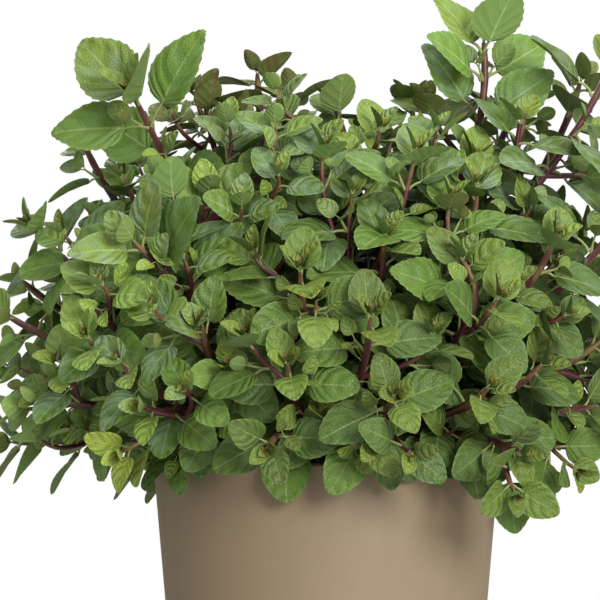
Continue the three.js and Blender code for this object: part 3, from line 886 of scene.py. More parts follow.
# The main stems as lines, thicker at their joints, and a curved stalk for every leaf
def addStems(plants):
    joints = np.array(stemForm["joints"]) * mm
    for plant in plants:
        rings = plant["smooth"]
        backs = backsOf(rings)
        swelling = np.exp(-(np.min(np.abs(backs[:, None] - joints), axis=1) / stemForm["jointReach"]) ** 2)
        halves = rings["halves"] * (1 + stemForm["swelling"] * swelling) * taper(backs, stemForm["mainTaper"])
        woody = woodyAt(backs, *stemForm["mainWoody"])
        foot = rings["centres"][0] - np.array((0, 0, mainStem["rooted"]))
        addLine(plant, np.vstack((foot, rings["centres"])), np.concatenate((halves[:1], halves)),
                np.vstack((rings["sides"][:1], rings["sides"])), np.concatenate(([1], woody)))
        if "side" in plant:
            side, (least, more) = plant["side"]["smooth"], stemForm["sideWoody"]
            woody = least + more * np.linspace(1, 0, len(side["centres"]))
            addLine(plant, side["centres"], side["halves"], side["sides"], woody)
        for k, leaf in enumerate(plant["leaves"]):
            addStalk(plant, leaf, k)


def addStalk(plant, leaf, k):
    s, spot, neck, length = stalkForm, leaf["spot"], leaf["neck"], leaf["length"]
    along, across, face = leaf["basis"].T
    if leaf["stalk"] == 0:
        return
    start = spot["centre"] + along * s["start"] * spot["half"]
    way = neck - start
    rise = (s["rise"][0] + s["rise"][1] * chance(k, plant["number"], 51)) * lengthOf(way)
    points = [start] + [start + way * share + face * rise * risen for share, risen in s["bends"]]
    points += [neck - face * s["under"] * length,
               neck + along * s["into"] * length - face * s["underInto"] * length]
    thick = max(s["thinnest"], min(s["thickest"], s["thickness"] * length))
    halves = [thick * share for share in s["shares"]]
    addLine(plant, points, halves, across, s["woody"] * leaf["age"], stalk=1)


# Leaf forms, for a blade of length 1 that starts at the origin: rows of vertices across each half, how much
# the halves bulge and drop, how pointed the end is, the wave of the edge, the twist and the bend, how deep
# the surface lies at the veins, and how strongly these show
usualForm = {
    "rows": 9, "quilt": 0.006, "teeth": 0.01, "rib": 0.034, "wave": 0, "waves": 1, "twist": 0, "bend": 0,
    "veined": 1.0,
}
leafForms = [{**usualForm, **own} for own in (
    {"rows": 3, "width": 0.32, "fold": 0.7, "bulge": 0.5, "tipDrop": 0.3, "point": 0.15, "quilt": 0.0,
     "teeth": 0.0, "rib": 0.06, "veined": 0.3},
    {"rows": 5, "width": 0.39, "fold": 0.34, "bulge": 0.9, "tipDrop": 0.7, "point": 0.12, "quilt": 0.0,
     "teeth": 0.008, "rib": 0.045, "veined": 0.55},
    {"width": 0.41, "fold": 0.3, "bulge": 1.2, "tipDrop": 0.75, "point": 0.18, "teeth": 0.009, "rib": 0.04},
    {"rows": 11, "width": 0.385, "fold": 0.2, "bulge": 1.3, "tipDrop": 0.95, "point": 0.45, "quilt": 0.008,
     "teeth": 0.016},
    {"rows": 11, "width": 0.4, "fold": 0.16, "bulge": 1.1, "tipDrop": 0.9, "point": 0.34, "quilt": 0.008,
     "teeth": 0.015, "wave": 0.02, "waves": 1.4, "bend": 0.03},
    {"width": 0.43, "fold": 0.16, "bulge": 1.6, "tipDrop": 1.2, "point": 0.08, "teeth": 0.008},
    {"width": 0.42, "fold": 0.12, "bulge": 2.1, "tipDrop": 1.25, "point": 0.2},
    {"width": 0.44, "fold": 0.13, "bulge": 1.8, "tipDrop": 1.1, "point": 0.0, "quilt": 0.005, "teeth": 0.007,
     "twist": -0.24, "bend": 0.03, "wave": 0.014, "waves": 1.2},
    {"width": 0.42, "fold": 0.17, "bulge": 1.4, "tipDrop": 1.15, "point": 0.22, "twist": 0.26, "bend": -0.03},
    {"rows": 7, "width": 0.46, "fold": 0.1, "bulge": 1.6, "tipDrop": 1.0, "point": 0.0, "quilt": 0.0,
     "teeth": 0.004, "wave": 0.018, "waves": 0.8, "veined": 0.7},
)]
midShare = 0.52  # how far across a half its middle column lies


# Which of the forms suit a leaf, by its length and age
def formsFor(length, age):
    if length < 6.5 * mm:
        return [0]
    if length < 12 * mm:
        return [1]
    if age < 0.3 and length < 27 * mm:
        return [2]
    if length > 31 * mm:
        return [3, 4]
    return [5, 6, 7, 8] if age < 0.6 else [5, 6, 7, 8, 9, 9]


def leafFormMesh(number, form):
    rows, quilt, teeth, rib = (form[key] for key in ("rows", "quilt", "teeth", "rib"))
    shares = [(i + 1) / (rows + 1) for i in range(rows)]
    rimAt = [0.5 - 0.5 * math.cos(math.pi * t) for t in shares]
    ribAt = [u ** 3 * (0.85 + 0.15 * u) for u in rimAt]

    # A point at a share of the length and of the half width, lifted as the form says
    def pointAt(u, v, side, lift=0.0, out=0.0):
        half = form["width"] * ovate(u) * (1 - form["point"] * u ** 3.5)
        reach = half * v + out
        bulge = v * (1 + form["bulge"]) - form["bulge"] * v * v
        z = blade["arch"] * archAt(u, form["tipDrop"])
        z += form["fold"] * half * bulge + lift
        z += form["wave"] * v * v * math.sin(2 * math.pi * form["waves"] * u + 1.3 * side)
        y = side * reach
        turn = form["twist"] * u
        bend = form["bend"] * (u * u - 0.3 * u)
        return (u, y * math.cos(turn) - z * math.sin(turn) + bend, y * math.sin(turn) + z * math.cos(turn))

    points, rowOf, acrossOf = [], [], []

    def add(point, row, across):
        points.append(point)
        rowOf.append(row)
        acrossOf.append(across)
        return len(points) - 1

    def crest(i):
        return quilt * (1 if i % 2 == 0 else -0.7)

    neck = add((0, 0, 0), 0, 0)
    tip = add(pointAt(1, 0, 1), 1, 0)
    rim = {}
    for side in (1, -1):
        for i in range(rows):
            rim[side, i] = add(pointAt(rimAt[i], 1, side, 0, -0.3 * teeth), shares[i], 0.95 * side)
            if not teeth:
                continue
            ahead = 0.7 * rimAt[i + 1] + 0.3 * rimAt[i] if i + 1 < rows else 0.65 + 0.35 * rimAt[i]
            rim[side, i, "tooth"] = add(pointAt(ahead, 1, side, 0, teeth), shares[i] + 0.6 / (rows + 1), side)
    ribPoints = [pointAt(u, 0, 1) for u in ribAt]
    ribs = [add(ribPoints[i], shares[i], 0) for i in range(rows)]
    knots = list(range(0, rows, 2))
    underRibs = {i: add((*ribPoints[i][:2], ribPoints[i][2] - rib), shares[i], 0) for i in knots}
    upper, lower = [], []
    for side in (1, -1):
        mids = []
        for i in range(rows):
            u = ribAt[i] + (rimAt[i] - ribAt[i]) * 0.38
            mids.append(add(pointAt(u, midShare, side, crest(i)), shares[i], midShare * side))
        edge = [[rim[side, i], rim[side, i, "tooth"]] if teeth else [rim[side, i]] for i in range(rows)]
        above = [[neck, ribs[0], mids[0]], [neck, mids[0], rim[side, 0]], [ribs[-1], tip, mids[-1]],
                 [mids[-1], tip, *edge[-1][::-1]]]
        for i in range(rows - 1):
            above.append([ribs[i], ribs[i + 1], mids[i + 1], mids[i]])
            above.append([mids[i], mids[i + 1], rim[side, i + 1], *edge[i][::-1]])
        below = [[neck, underRibs[0], rim[side, 0]], [underRibs[knots[-1]], tip, *edge[-1][::-1]]]
        for i in knots[:-1]:
            outer = [rim[side, i + 2], *edge[i + 1][::-1], *edge[i][::-1]]
            below.append([underRibs[i], underRibs[i + 2], *outer])
        upper += [face if side == 1 else face[::-1] for face in above]
        lower += [face[::-1] if side == 1 else face for face in below]
    faces, under = upper + lower, [0.0] * len(upper) + [1.0] * len(lower)
    mesh = bpy.data.meshes.new(f"leafForm{number}")
    mesh.from_pydata(points, [], faces)
    uvs = mesh.uv_layers.new(name="veins").data
    for loop in mesh.loops:
        uvs[loop.index].uv = (rowOf[loop.vertex_index], 0.5 + 0.5 * acrossOf[loop.vertex_index])
    mesh.attributes.new("under", "FLOAT", "FACE").data.foreach_set("value", under)
    mesh.attributes.new("veined", "FLOAT", "FACE").data.foreach_set("value", [form["veined"]] * len(faces))
    rimPoints = set(rim.values()) | {neck, tip}
    sharp = [set(e.vertices) <= rimPoints for e in mesh.edges]
    mesh.attributes.new("sharp_edge", "BOOLEAN", "EDGE").data.foreach_set("value", sharp)
    mesh.polygons.foreach_set("use_smooth", [True] * len(mesh.polygons))
    mesh.validate()
    return mesh


# Node trees: short ways to add a node with its settings, values and links, and to have its first output
def addNode(tree, kind, sockets=None, **settings):
    node = tree.nodes.new(kind)
    for name, value in settings.items():
        setattr(node, name, value)
    for key, value in (sockets or {}).items():
        if isinstance(value, bpy.types.NodeSocket):
            tree.links.new(value, node.inputs[key])
        else:
            node.inputs[key].default_value = value
    return node


def made(tree, kind, sockets=None, **settings):
    return addNode(tree, kind, sockets, **settings).outputs[0]


def calc(tree, operation, a, b=0.0, c=0.0):
    return made(tree, "ShaderNodeMath", {0: a, 1: b, 2: c}, operation=operation)


def scaled(tree, vector, by):
    return made(tree, "ShaderNodeVectorMath", {0: vector, "Scale": by}, operation="SCALE")


def newTree(name, inputs):
    tree = bpy.data.node_groups.new(name, "GeometryNodeTree")
    tree.interface.new_socket("Geometry", in_out="OUTPUT", socket_type="NodeSocketGeometry")
    tree.interface.new_socket("Geometry", in_out="INPUT", socket_type="NodeSocketGeometry")
    for label, kind in inputs.items():
        tree.interface.new_socket(label, in_out="INPUT", socket_type="NodeSocket" + kind)
    return tree, tree.nodes.new("NodeGroupInput").outputs, tree.nodes.new("NodeGroupOutput").inputs


def attribute(tree, name, kind="FLOAT"):
    node = addNode(tree, "GeometryNodeInputNamedAttribute", {"Name": name}, data_type=kind)
    return node.outputs["Attribute"]


def stored(tree, geometry, name, value):
    return made(tree, "GeometryNodeStoreNamedAttribute", {"Geometry": geometry, "Name": name, "Value": value},
                data_type="FLOAT", domain="POINT")


def coated(tree, geometry, finish):
    return made(tree, "GeometryNodeSetMaterial", {"Geometry": geometry, "Material": finish})


def circle(tree, sides):
    return made(tree, "GeometryNodeCurvePrimitiveCircle", {"Resolution": sides, "Radius": 1.0})


# Ends a tree: its instances made real, with their material where it isn't on them yet
def endTree(tree, geometry, result, finish=None):
    done = made(tree, "GeometryNodeRealizeInstances", {"Geometry": geometry})
    if finish:
        done = coated(tree, done, finish)
    tree.links.new(done, result[0])
    return tree


# Leaves on points: each takes its form, turn and size from its point
def leafTree():
    tree, given, result = newTree("leavesOnPoints", {"Leaf forms": "Collection", "Finish": "Material"})
    forms = made(tree, "GeometryNodeCollectionInfo", {
        "Collection": given["Leaf forms"], "Separate Children": True, "Reset Children": True,
    })
    leaves = made(tree, "GeometryNodeInstanceOnPoints", {
        "Points": given["Geometry"], "Instance": forms, "Pick Instance": True,
        "Instance Index": attribute(tree, "form", "INT"), "Rotation": attribute(tree, "turn", "QUATERNION"),
        "Scale": attribute(tree, "size"),
    })
    return endTree(tree, leaves, result, given["Finish"])


# Square stems and round stalks along lines: each takes its thickness and the direction of one face from its
# points
def stemTree():
    tree, given, result = newTree("stemsAlongLines", {
        "Corner reach": "Float", "Stem sides": "Int", "Stalk sides": "Int", "Stem finish": "Material",
        "Stalk finish": "Material",
    })
    curves = made(tree, "GeometryNodeMeshToCurve", {"Mesh": given["Geometry"]})
    facing = made(tree, "GeometryNodeSetCurveNormal", {
        "Curve": curves, "Normal": attribute(tree, "side", "FLOAT_VECTOR"),
    }, mode="FREE")
    isStalk = made(tree, "FunctionNodeCompare", {0: attribute(tree, "stalk"), 1: 0.5}, data_type="FLOAT",
                   operation="GREATER_THAN")
    split = addNode(tree, "GeometryNodeSeparateGeometry", {"Geometry": facing, "Selection": isStalk},
                    domain="CURVE").outputs

    # A stem's profile: a circle whose every other point is drawn out to a corner
    square = circle(tree, given["Stem sides"])
    corner = calc(tree, "MODULO", made(tree, "GeometryNodeInputIndex"), 2.0)
    reach = calc(tree, "MULTIPLY_ADD", corner, given["Corner reach"], 1.0)
    spread = scaled(tree, made(tree, "GeometryNodeInputPosition"), reach)
    shaped = made(tree, "GeometryNodeSetPosition", {"Geometry": square, "Position": spread})
    ridged = stored(tree, shaped, "ridge", corner)
    rounded = circle(tree, given["Stalk sides"])
    thickness = attribute(tree, "thickness")
    kinds = ((split[1], ridged, "Stem finish"), (split[0], rounded, "Stalk finish"))
    finished = []
    for lines, profile, finish in kinds:
        swept = made(tree, "GeometryNodeCurveToMesh", {
            "Curve": lines, "Profile Curve": profile, "Scale": thickness, "Fill Caps": True,
        })
        smooth = made(tree, "GeometryNodeSetShadeSmooth", {"Geometry": swept})
        finished.append(coated(tree, smooth, given[finish]))
    joined = addNode(tree, "GeometryNodeJoinGeometry")
    for part in finished[::-1]:
        tree.links.new(part, joined.inputs[0])
    return endTree(tree, joined.outputs[0], result)


# Runs a tree on an object and keeps what it makes as the object's plain mesh
def growMesh(piece, tree, values):
    modifier = piece.modifiers.new("grow", "NODES")
    modifier.node_group = tree
    for socket in tree.interface.items_tree:
        if socket.in_out == "INPUT" and socket.name in values:
            modifier[socket.identifier] = values[socket.name]
    bpy.context.view_layer.update()
    graph = bpy.context.evaluated_depsgraph_get()
    grown = piece.evaluated_get(graph)
    mesh = bpy.data.meshes.new_from_object(grown, preserve_all_data_layers=True, depsgraph=graph)
    piece.modifiers.remove(modifier)
    piece.data = mesh
    mesh.name = piece.name
    return piece


def newPiece(name, mesh):
    piece = bpy.data.objects.new(name, mesh)
    bpy.context.scene.collection.objects.link(piece)
    return piece


def setAttribute(mesh, name, kind, values, field="value"):
    mesh.attributes.new(name, kind, "POINT").data.foreach_set(field, np.asarray(values).ravel())


# Painted light and shade for each leaf, by its place: its colour is made brighter high up and at the
# lower left, and darker low in the middle
paintedLightMap = {"paintedLightHigh": 1.08, "paintedLightLowLeft": 0.17, "paintedShadeLowMiddle": -0.38, "z": (250 * mm, 330 * mm),
          "x": (-100 * mm, -40 * mm)}


def paintedLightOf(leaf):
    x, _, z = leaf["neck"]
    low = np.interp(z, paintedLightMap["z"], (1, 0))
    middle = np.interp(x, paintedLightMap["x"], (0, 1))
    return paintedLightMap["paintedLightHigh"] + low * (paintedLightMap["paintedShadeLowMiddle"] * middle + paintedLightMap["paintedLightLowLeft"] * (1 - middle))


# How far down a stem its bronze reaches, and how much a leaf's tone and age are its plant's and its own
variety = {"bronzeReach": 110 * mm, "plantTone": 0.35, "leafTone": 0.65, "age": 0.16}


def bronzeOf(plant, leaf):
    if "bronze" in leaf:
        return leaf["bronze"]
    down = np.linalg.norm(leaf["neck"] - np.array(plant["tip"]["tip"]) * mm)
    return plant["bronze"] * max(0, 1 - down / variety["bronzeReach"])


# All leaves of a plant, placed as points that carry what the tree and the finish read
def leavesPiece(plant, tree, forms, finish):
    name, n, leaves = plant["name"] + "_leaves", plant["number"], plant["leaves"]
    mesh = bpy.data.meshes.new(name)
    mesh.from_pydata([tuple(leaf["neck"]) for leaf in leaves], [], [])
    turns, formNumbers = [], []
    given = {label: [] for label in ("size", "tone", "age", "bronze", "shade", "rust", "sick")}
    for k, leaf in enumerate(leaves):
        turn = Matrix(leaf["basis"]).to_quaternion()
        turns.append((turn.w, turn.x, turn.y, turn.z))
        suited = formsFor(leaf["length"], leaf["age"])
        formNumbers.append(suited[math.floor(len(suited) * chance(k, n, 61))])
        given["size"].append(leaf["length"])
        given["tone"].append(variety["plantTone"] * chance(n, 71) + variety["leafTone"] * chance(k, n, 72))
        given["age"].append(min(1, max(0, leaf["age"] + variety["age"] * (chance(k, n, 73) - 0.5))))
        given["bronze"].append(bronzeOf(plant, leaf))
        given["shade"].append(paintedLightOf(leaf))
        given["rust"].append(leaf.get("rust", 0.0))
        given["sick"].append(leaf.get("sick", 0.0))
    setAttribute(mesh, "turn", "QUATERNION", turns)
    setAttribute(mesh, "form", "INT", formNumbers)
    for label, values in given.items():
        setAttribute(mesh, label, "FLOAT", values)
    return growMesh(newPiece(name, mesh), tree, {"Leaf forms": forms, "Finish": finish})


# All stems and stalks of a plant, from its lines
def stemsPiece(plant, tree, finishes):
    name, lines = plant["name"] + "_stems", plant["lines"]
    edges, start = [], 0
    for line in lines:
        n = len(line["points"])
        edges += [(start + i, start + i + 1) for i in range(n - 1)]
        start += n
    mesh = bpy.data.meshes.new(name)
    mesh.from_pydata([tuple(p) for line in lines for p in line["points"]], edges, [])
    setAttribute(mesh, "side", "FLOAT_VECTOR", np.vstack([line["side"] for line in lines]), "vector")
    for label in ("thickness", "woody", "stalk"):
        setAttribute(mesh, label, "FLOAT", np.concatenate([line[label] for line in lines]))
    values = {"Corner reach": 0.24, "Stem sides": 8, "Stalk sides": 6, **finishes}
    return growMesh(newPiece(name, mesh), tree, values)


# Materials: short ways to the nodes that they share
def newFinish(name, look):
    material = bpy.data.materials.new(name)
    material.use_nodes = True
    tree = material.node_tree
    inputs = tree.nodes["Principled BSDF"].inputs
    for key, label in (("colour", "Base Color"), ("roughness", "Roughness"), ("gloss", "Specular IOR Level")):
        if key in look:
            inputs[label].default_value = look[key]
    return material, tree, inputs, addNode(tree, "ShaderNodeTexCoord").outputs["Object"]


def ramp(tree, value, low, high, start=0.0, end=1.0, smooth=True):
    return made(tree, "ShaderNodeMapRange", {0: value, 1: low, 2: high, 3: start, 4: end},
                interpolation_type="SMOOTHSTEP" if smooth else "LINEAR")


def blend(tree, share, a, b):
    a, b = ((*c, 1) if isinstance(c, tuple) else c for c in (a, b))
    return addNode(tree, "ShaderNodeMix", {0: share, 6: a, 7: b}, data_type="RGBA").outputs[2]


def noiseAt(tree, place, scale, detail=2.0, stretch=None):
    if stretch:
        place = made(tree, "ShaderNodeMapping", {"Vector": place, "Scale": stretch})
    return made(tree, "ShaderNodeTexNoise", {"Vector": place, "Scale": scale, "Detail": detail})


def readAttribute(tree, name):
    return addNode(tree, "ShaderNodeAttribute", attribute_name=name, attribute_type="GEOMETRY").outputs["Fac"]


def addBump(tree, inputs, height, strength, distance):
    bump = made(tree, "ShaderNodeBump", {"Strength": strength, "Distance": distance, "Height": height})
    tree.links.new(bump, inputs["Normal"])


def times(tree, a, b):
    return calc(tree, "MULTIPLY", a, b)


def timesPlus(tree, a, b, c):
    return calc(tree, "MULTIPLY_ADD", a, b, c)


# How the leaves look. A scale says how fine a pattern is, here and in the other looks.
leafLook = {
    "young": (0.26, 0.36, 0.05), "grown": (0.138, 0.245, 0.032), "old": (0.086, 0.16, 0.024),
    "vein": (0.36, 0.47, 0.17), "bloomAndSheenColour": (0.25, 0.36, 0.24), "edge": (0.33, 0.45, 0.17),
    "bronze": (0.15, 0.10, 0.03), "rust": (0.30, 0.16, 0.05), "sick": (0.45, 0.52, 0.07),
    "spot": (0.16, 0.07, 0.02), "under": (0.20, 0.31, 0.09),
    "panels": 7, "roughness": 0.42, "underRoughness": 0.7, "gloss": 0.38, "relief": 0.7 * mm, "strength": 0.9,
    "wobbleScale": 260, "netScale": 620.0, "mottleScale": 95, "spotScale": 420,
}


def leafFinish():
    look = leafLook
    material, tree, inputs, place = newFinish("mintLeaf", look)
    veins = addNode(tree, "ShaderNodeSeparateXYZ", {0: made(tree, "ShaderNodeUVMap", uv_map="veins")}).outputs
    labels = ("age", "tone", "shade", "under", "veined", "bronze", "rust", "sick")
    age, tone, shade, under, veined, bronze, rust, sick = (readAttribute(tree, label) for label in labels)

    # How far a point is from the midrib, and from the nearest side vein
    across = calc(tree, "ABSOLUTE", timesPlus(tree, veins[1], 2.0, -1.0))
    wobble = timesPlus(tree, noiseAt(tree, place, look["wobbleScale"], 1.0), 0.16, -0.08)
    panel = calc(tree, "FRACT", calc(tree, "ADD", timesPlus(tree, veins[0], look["panels"], 0.5), wobble))
    fromVein = calc(tree, "ABSOLUTE", calc(tree, "SUBTRACT", panel, 0.5))
    vein = ramp(tree, fromVein, 0.01, 0.07, 1, 0)
    midrib = ramp(tree, across, 0.01, 0.07, 1, 0)
    crest = ramp(tree, fromVein, 0.05, 0.4)
    edge = ramp(tree, across, 0.88, 1.0)
    cells = made(tree, "ShaderNodeTexVoronoi", {"Vector": place, "Scale": look["netScale"]},
                 feature="DISTANCE_TO_EDGE")
    net = ramp(tree, cells, 0.0, 0.22, 1, 0)
    mottle = noiseAt(tree, place, look["mottleScale"], 3.0)

    # Green, from the bud to the old leaf, with painted shade in the furrows of its veins and its fine net, and
    # a little painted light on the panels between
    green = blend(tree, ramp(tree, age, 0.05, 0.5), look["young"], look["grown"])
    green = blend(tree, ramp(tree, age, 0.55, 1.0), green, look["old"])
    brightness = ramp(tree, tone, 0, 1, 0.66, 1.28, smooth=False)
    brightness = calc(tree, "ADD", brightness, timesPlus(tree, mottle, 0.36, -0.18))
    paintedFurrowShade = times(tree, ramp(tree, fromVein, 0.02, 0.15, 1, 0), ramp(tree, across, 0.02, 0.2))
    paintedFurrowShade = calc(tree, "MAXIMUM", paintedFurrowShade, times(tree, net, ramp(tree, mottle, 0.4, 0.7, 0.1, 0.5)))
    paintedFurrowShade = times(tree, paintedFurrowShade, times(tree, veined, ramp(tree, across, 0.7, 1.0, 1.0, 0.2)))
    # Painted shade: darker in the furrows, and a little lighter on the panels between them
    brightness = times(tree, brightness, ramp(tree, paintedFurrowShade, 0, 1, 1.07, 0.74, smooth=False))
    green = scaled(tree, green, brightness)

    # The upper face, with its bloom and painted sheen, veins, edge with its painted highlight, and bronze
    # A bluish grey bloom, partly the leaf's own and partly a painted sheen: stronger on the crests of the
    # panels and where the painted light is high
    bloomAndSheen = times(tree, ramp(tree, mottle, 0.35, 0.68, 0.0, 0.28), ramp(tree, tone, 0.3, 0.62, 1.9, 0.5))
    bloomAndSheen = times(tree, bloomAndSheen, timesPlus(tree, crest, 0.3, 0.6))
    bloomAndSheen = times(tree, bloomAndSheen, ramp(tree, shade, 0.7, 1.08, 0.4, 1.6, smooth=False))
    veinLines = times(tree, vein, ramp(tree, across, 0.1, 1.0, 0.3, 0.03))
    lines = calc(tree, "MAXIMUM", veinLines, times(tree, midrib, 0.72))
    upper = blend(tree, lines, blend(tree, bloomAndSheen, green, look["bloomAndSheenColour"]), look["vein"])
    # A paler rim at the edge, partly the leaf's own margin and partly a painted edge highlight
    upper = blend(tree, times(tree, edge, 0.4), upper, look["edge"])
    bronzed = times(tree, bronze, ramp(tree, mottle, 0.3, 0.65, 0.45, 0.95))
    upper = blend(tree, times(tree, bronzed, 0.75), upper, look["bronze"])

    # The lower face, paler and here and there reddish, and what shows on both faces
    lower = blend(tree, 0.85, green, look["under"])
    lower = blend(tree, times(tree, lines, 1.35), lower, look["vein"])
    reddish = times(tree, ramp(tree, tone, 0.5, 0.9, 0, 0.5), ramp(tree, age, 0.7, 0.3))
    lower = blend(tree, calc(tree, "MAXIMUM", bronzed, reddish), lower, look["bronze"])
    colour = blend(tree, rust, blend(tree, under, upper, lower), look["rust"])
    spots = ramp(tree, noiseAt(tree, place, look["spotScale"], 2.0), 0.66, 0.72)
    colour = blend(tree, sick, colour, blend(tree, spots, look["sick"], look["spot"]))
    # Painted light and shade by place: the whole colour is scaled up high and at the lower left, and down low
    # in the middle
    tree.links.new(scaled(tree, colour, shade), inputs["Base Color"])

    rough = ramp(tree, mottle, 0.3, 0.7, look["roughness"] - 0.06, look["roughness"] + 0.1)
    rough = timesPlus(tree, under, look["underRoughness"] - look["roughness"], rough)
    tree.links.new(rough, inputs["Roughness"])

    # Relief: panels stand proud between the veins on the upper face, and the veins stand proud on the lower
    # one
    panels = times(tree, crest, ramp(tree, across, 0.75, 1.0, 1.0, 0.3))
    height = calc(tree, "SUBTRACT", panels, times(tree, midrib, 0.25))
    height = calc(tree, "SUBTRACT", height, times(tree, net, 0.3))
    height = timesPlus(tree, mottle, 0.35, times(tree, height, veined))
    height = times(tree, height, timesPlus(tree, under, -1.35, 1.0))
    height = times(tree, height, ramp(tree, age, 0.1, 0.9, 1.0, 0.65))
    addBump(tree, inputs, height, look["strength"], look["relief"])
    return material


stemLook = {
    "green": (0.26, 0.17, 0.055), "purple": (0.115, 0.022, 0.03), "brown": (0.13, 0.06, 0.03),
    "ridge": (0.38, 0.27, 0.17), "streak": (0.05, 0.015, 0.015), "roughness": 0.42, "relief": 0.3 * mm,
    "strength": 0.5, "patchScale": 60, "streakScale": 900, "streakStretch": (1, 1, 0.12),
}
stalkLook = {
    "green": (0.30, 0.36, 0.12), "red": (0.24, 0.09, 0.045), "dull": (0.16, 0.20, 0.06), "roughness": 0.48,
    "redScale": 45, "dullScale": 800,
}


def stemFinish():
    look = stemLook
    material, tree, inputs, place = newFinish("mintStem", look)
    woody, ridge = readAttribute(tree, "woody"), readAttribute(tree, "ridge")
    patchy = noiseAt(tree, place, look["patchScale"], 3.0)
    streaks = noiseAt(tree, place, look["streakScale"], 2.0, look["streakStretch"])
    aged = calc(tree, "ADD", woody, timesPlus(tree, patchy, 0.4, -0.2))
    colour = blend(tree, ramp(tree, aged, -0.08, 0.08), look["green"], look["purple"])
    colour = blend(tree, ramp(tree, aged, 0.42, 0.95), colour, look["brown"])
    paler = times(tree, ramp(tree, ridge, 0.6, 1.0), ramp(tree, patchy, 0.35, 0.7, 0.0, 0.5))
    colour = blend(tree, paler, colour, look["ridge"])
    colour = blend(tree, ramp(tree, streaks, 0.35, 0.7, 0, 0.45), colour, look["streak"])
    tree.links.new(colour, inputs["Base Color"])
    addBump(tree, inputs, streaks, look["strength"], look["relief"])
    return material


def stalkFinish():
    look = stalkLook
    material, tree, inputs, place = newFinish("leafStalk", look)
    patchy = ramp(tree, noiseAt(tree, place, look["redScale"], 2.0), 0.4, 0.65)
    reddened = times(tree, readAttribute(tree, "woody"), patchy)
    colour = blend(tree, reddened, look["green"], look["red"])
    speckled = ramp(tree, noiseAt(tree, place, look["dullScale"], 2.0), 0.4, 0.8, 0, 0.35)
    colour = blend(tree, speckled, colour, look["dull"])
    tree.links.new(colour, inputs["Base Color"])
    return material


potLook = {
    "base": (0.30, 0.223, 0.133), "light": (0.345, 0.265, 0.168), "dark": (0.225, 0.16, 0.094),
    "roughness": 0.58, "gloss": 0.4, "relief": 0.25 * mm, "strength": 0.35, "sides": 160,
    "cloudScale": 9, "streakScale": 60, "streakStretch": (1, 1, 0.06), "grainScale": 1500, "pitScale": 240.0,
}


def potFinish():
    look = potLook
    material, tree, inputs, place = newFinish("potTaupe", look)
    cloud = noiseAt(tree, place, look["cloudScale"], 4.0)
    streaks = noiseAt(tree, place, look["streakScale"], 3.0, look["streakStretch"])
    grain = noiseAt(tree, place, look["grainScale"], 2.0)
    cells = made(tree, "ShaderNodeTexVoronoi", {"Vector": place, "Scale": look["pitScale"]})
    pits = ramp(tree, cells, 0.0, 0.13, 1, 0)
    colour = blend(tree, ramp(tree, cloud, 0.3, 0.7, 0, 0.5), look["base"], look["light"])
    colour = blend(tree, ramp(tree, streaks, 0.45, 0.75, 0, 0.22), colour, look["dark"])
    colour = blend(tree, ramp(tree, grain, 0.35, 0.75, 0, 0.16), colour, look["dark"])
    tree.links.new(colour, inputs["Base Color"])
    rough = ramp(tree, cloud, 0.3, 0.7, look["roughness"] - 0.05, look["roughness"] + 0.08)
    tree.links.new(rough, inputs["Roughness"])
    height = calc(tree, "SUBTRACT", timesPlus(tree, grain, 0.5, times(tree, streaks, 0.4)), pits)
    addBump(tree, inputs, height, look["strength"], look["relief"])
    return material


soilLook = {
    "dark": (0.022, 0.014, 0.009), "bark": (0.085, 0.05, 0.028), "perlite": (0.55, 0.52, 0.46),
    "roughness": 0.95, "gloss": 0.2, "relief": 1.2 * mm, "strength": 0.9, "lumpScale": 180,
    "sides": 96, "rings": 30, "unevenness": 3.2 * mm, "gap": 0.4 * mm,
}
crumbs = {
    "count": 900, "size": 1.7 * mm, "fromWall": 4 * mm, "lift": 0.5 * mm, "seed": 4, "shapeSeed": 3,
    "smallest": (0.5, 0.3, 0.25), "largest": (1.6, 1.0, 0.7),
}


def soilFinish():
    look = soilLook
    material, tree, inputs, place = newFinish("pottingMix", look)
    lumps = noiseAt(tree, place, look["lumpScale"], 5.0)
    colour = blend(tree, ramp(tree, lumps, 0.42, 0.68), look["dark"], look["bark"])
    colour = blend(tree, ramp(tree, readAttribute(tree, "pale"), 0.9, 0.92), colour, look["perlite"])
    tree.links.new(colour, inputs["Base Color"])
    addBump(tree, inputs, lumps, look["strength"], look["relief"])
    return material


# A surface turned about the pot's axis, from a closed profile of radius and height that starts and ends on
# the axis
def turnedMesh(name, profile, sides):
    corners, faces = turnedRings(profile[1:-1], sides)
    bottom, top, lastRow = len(corners), len(corners) + 1, len(corners) - sides
    corners += [(0, 0, profile[0][1]), (0, 0, profile[-1][1])]
    for k in range(sides):
        faces.append((bottom, (k + 1) % sides, k))
        faces.append((top, lastRow + k, lastRow + (k + 1) % sides))
    mesh = bpy.data.meshes.new(name)
    mesh.from_pydata(corners, [], faces)
    mesh.polygons.foreach_set("use_smooth", [True] * len(mesh.polygons))
    return mesh


# The pot's profile: a small round at the foot, straight tapered walls and a softly rounded rim
def potProfile():
    def arc(r, z, radius, start, end, steps=6):
        angles = [math.radians(start + (end - start) * k / steps) for k in range(steps + 1)]
        return [(r + radius * math.cos(a), z + radius * math.sin(a)) for a in angles]

    foot, rim = 1.6 * mm, 2.2 * mm
    top = pot["height"]
    outside, inside = potRadius(top - rim) - rim, potRadius(top - rim) - pot["wall"] + rim
    profile = [(0, 0.0), (pot["footRadius"] - 9 * mm, 0.0)]
    profile += arc(potRadius(foot) - foot, foot, foot, -90, 0)
    profile += [(potRadius(z * mm), z * mm) for z in (20, 50, 90, 130)]
    profile += arc(outside, top - rim, rim, 0, 90)
    profile += arc(inside, top - rim, rim, 90, 180)
    profile += [(potRadius(pot["floor"]) - pot["wall"], pot["floor"]), (0, pot["floor"])]
    return profile


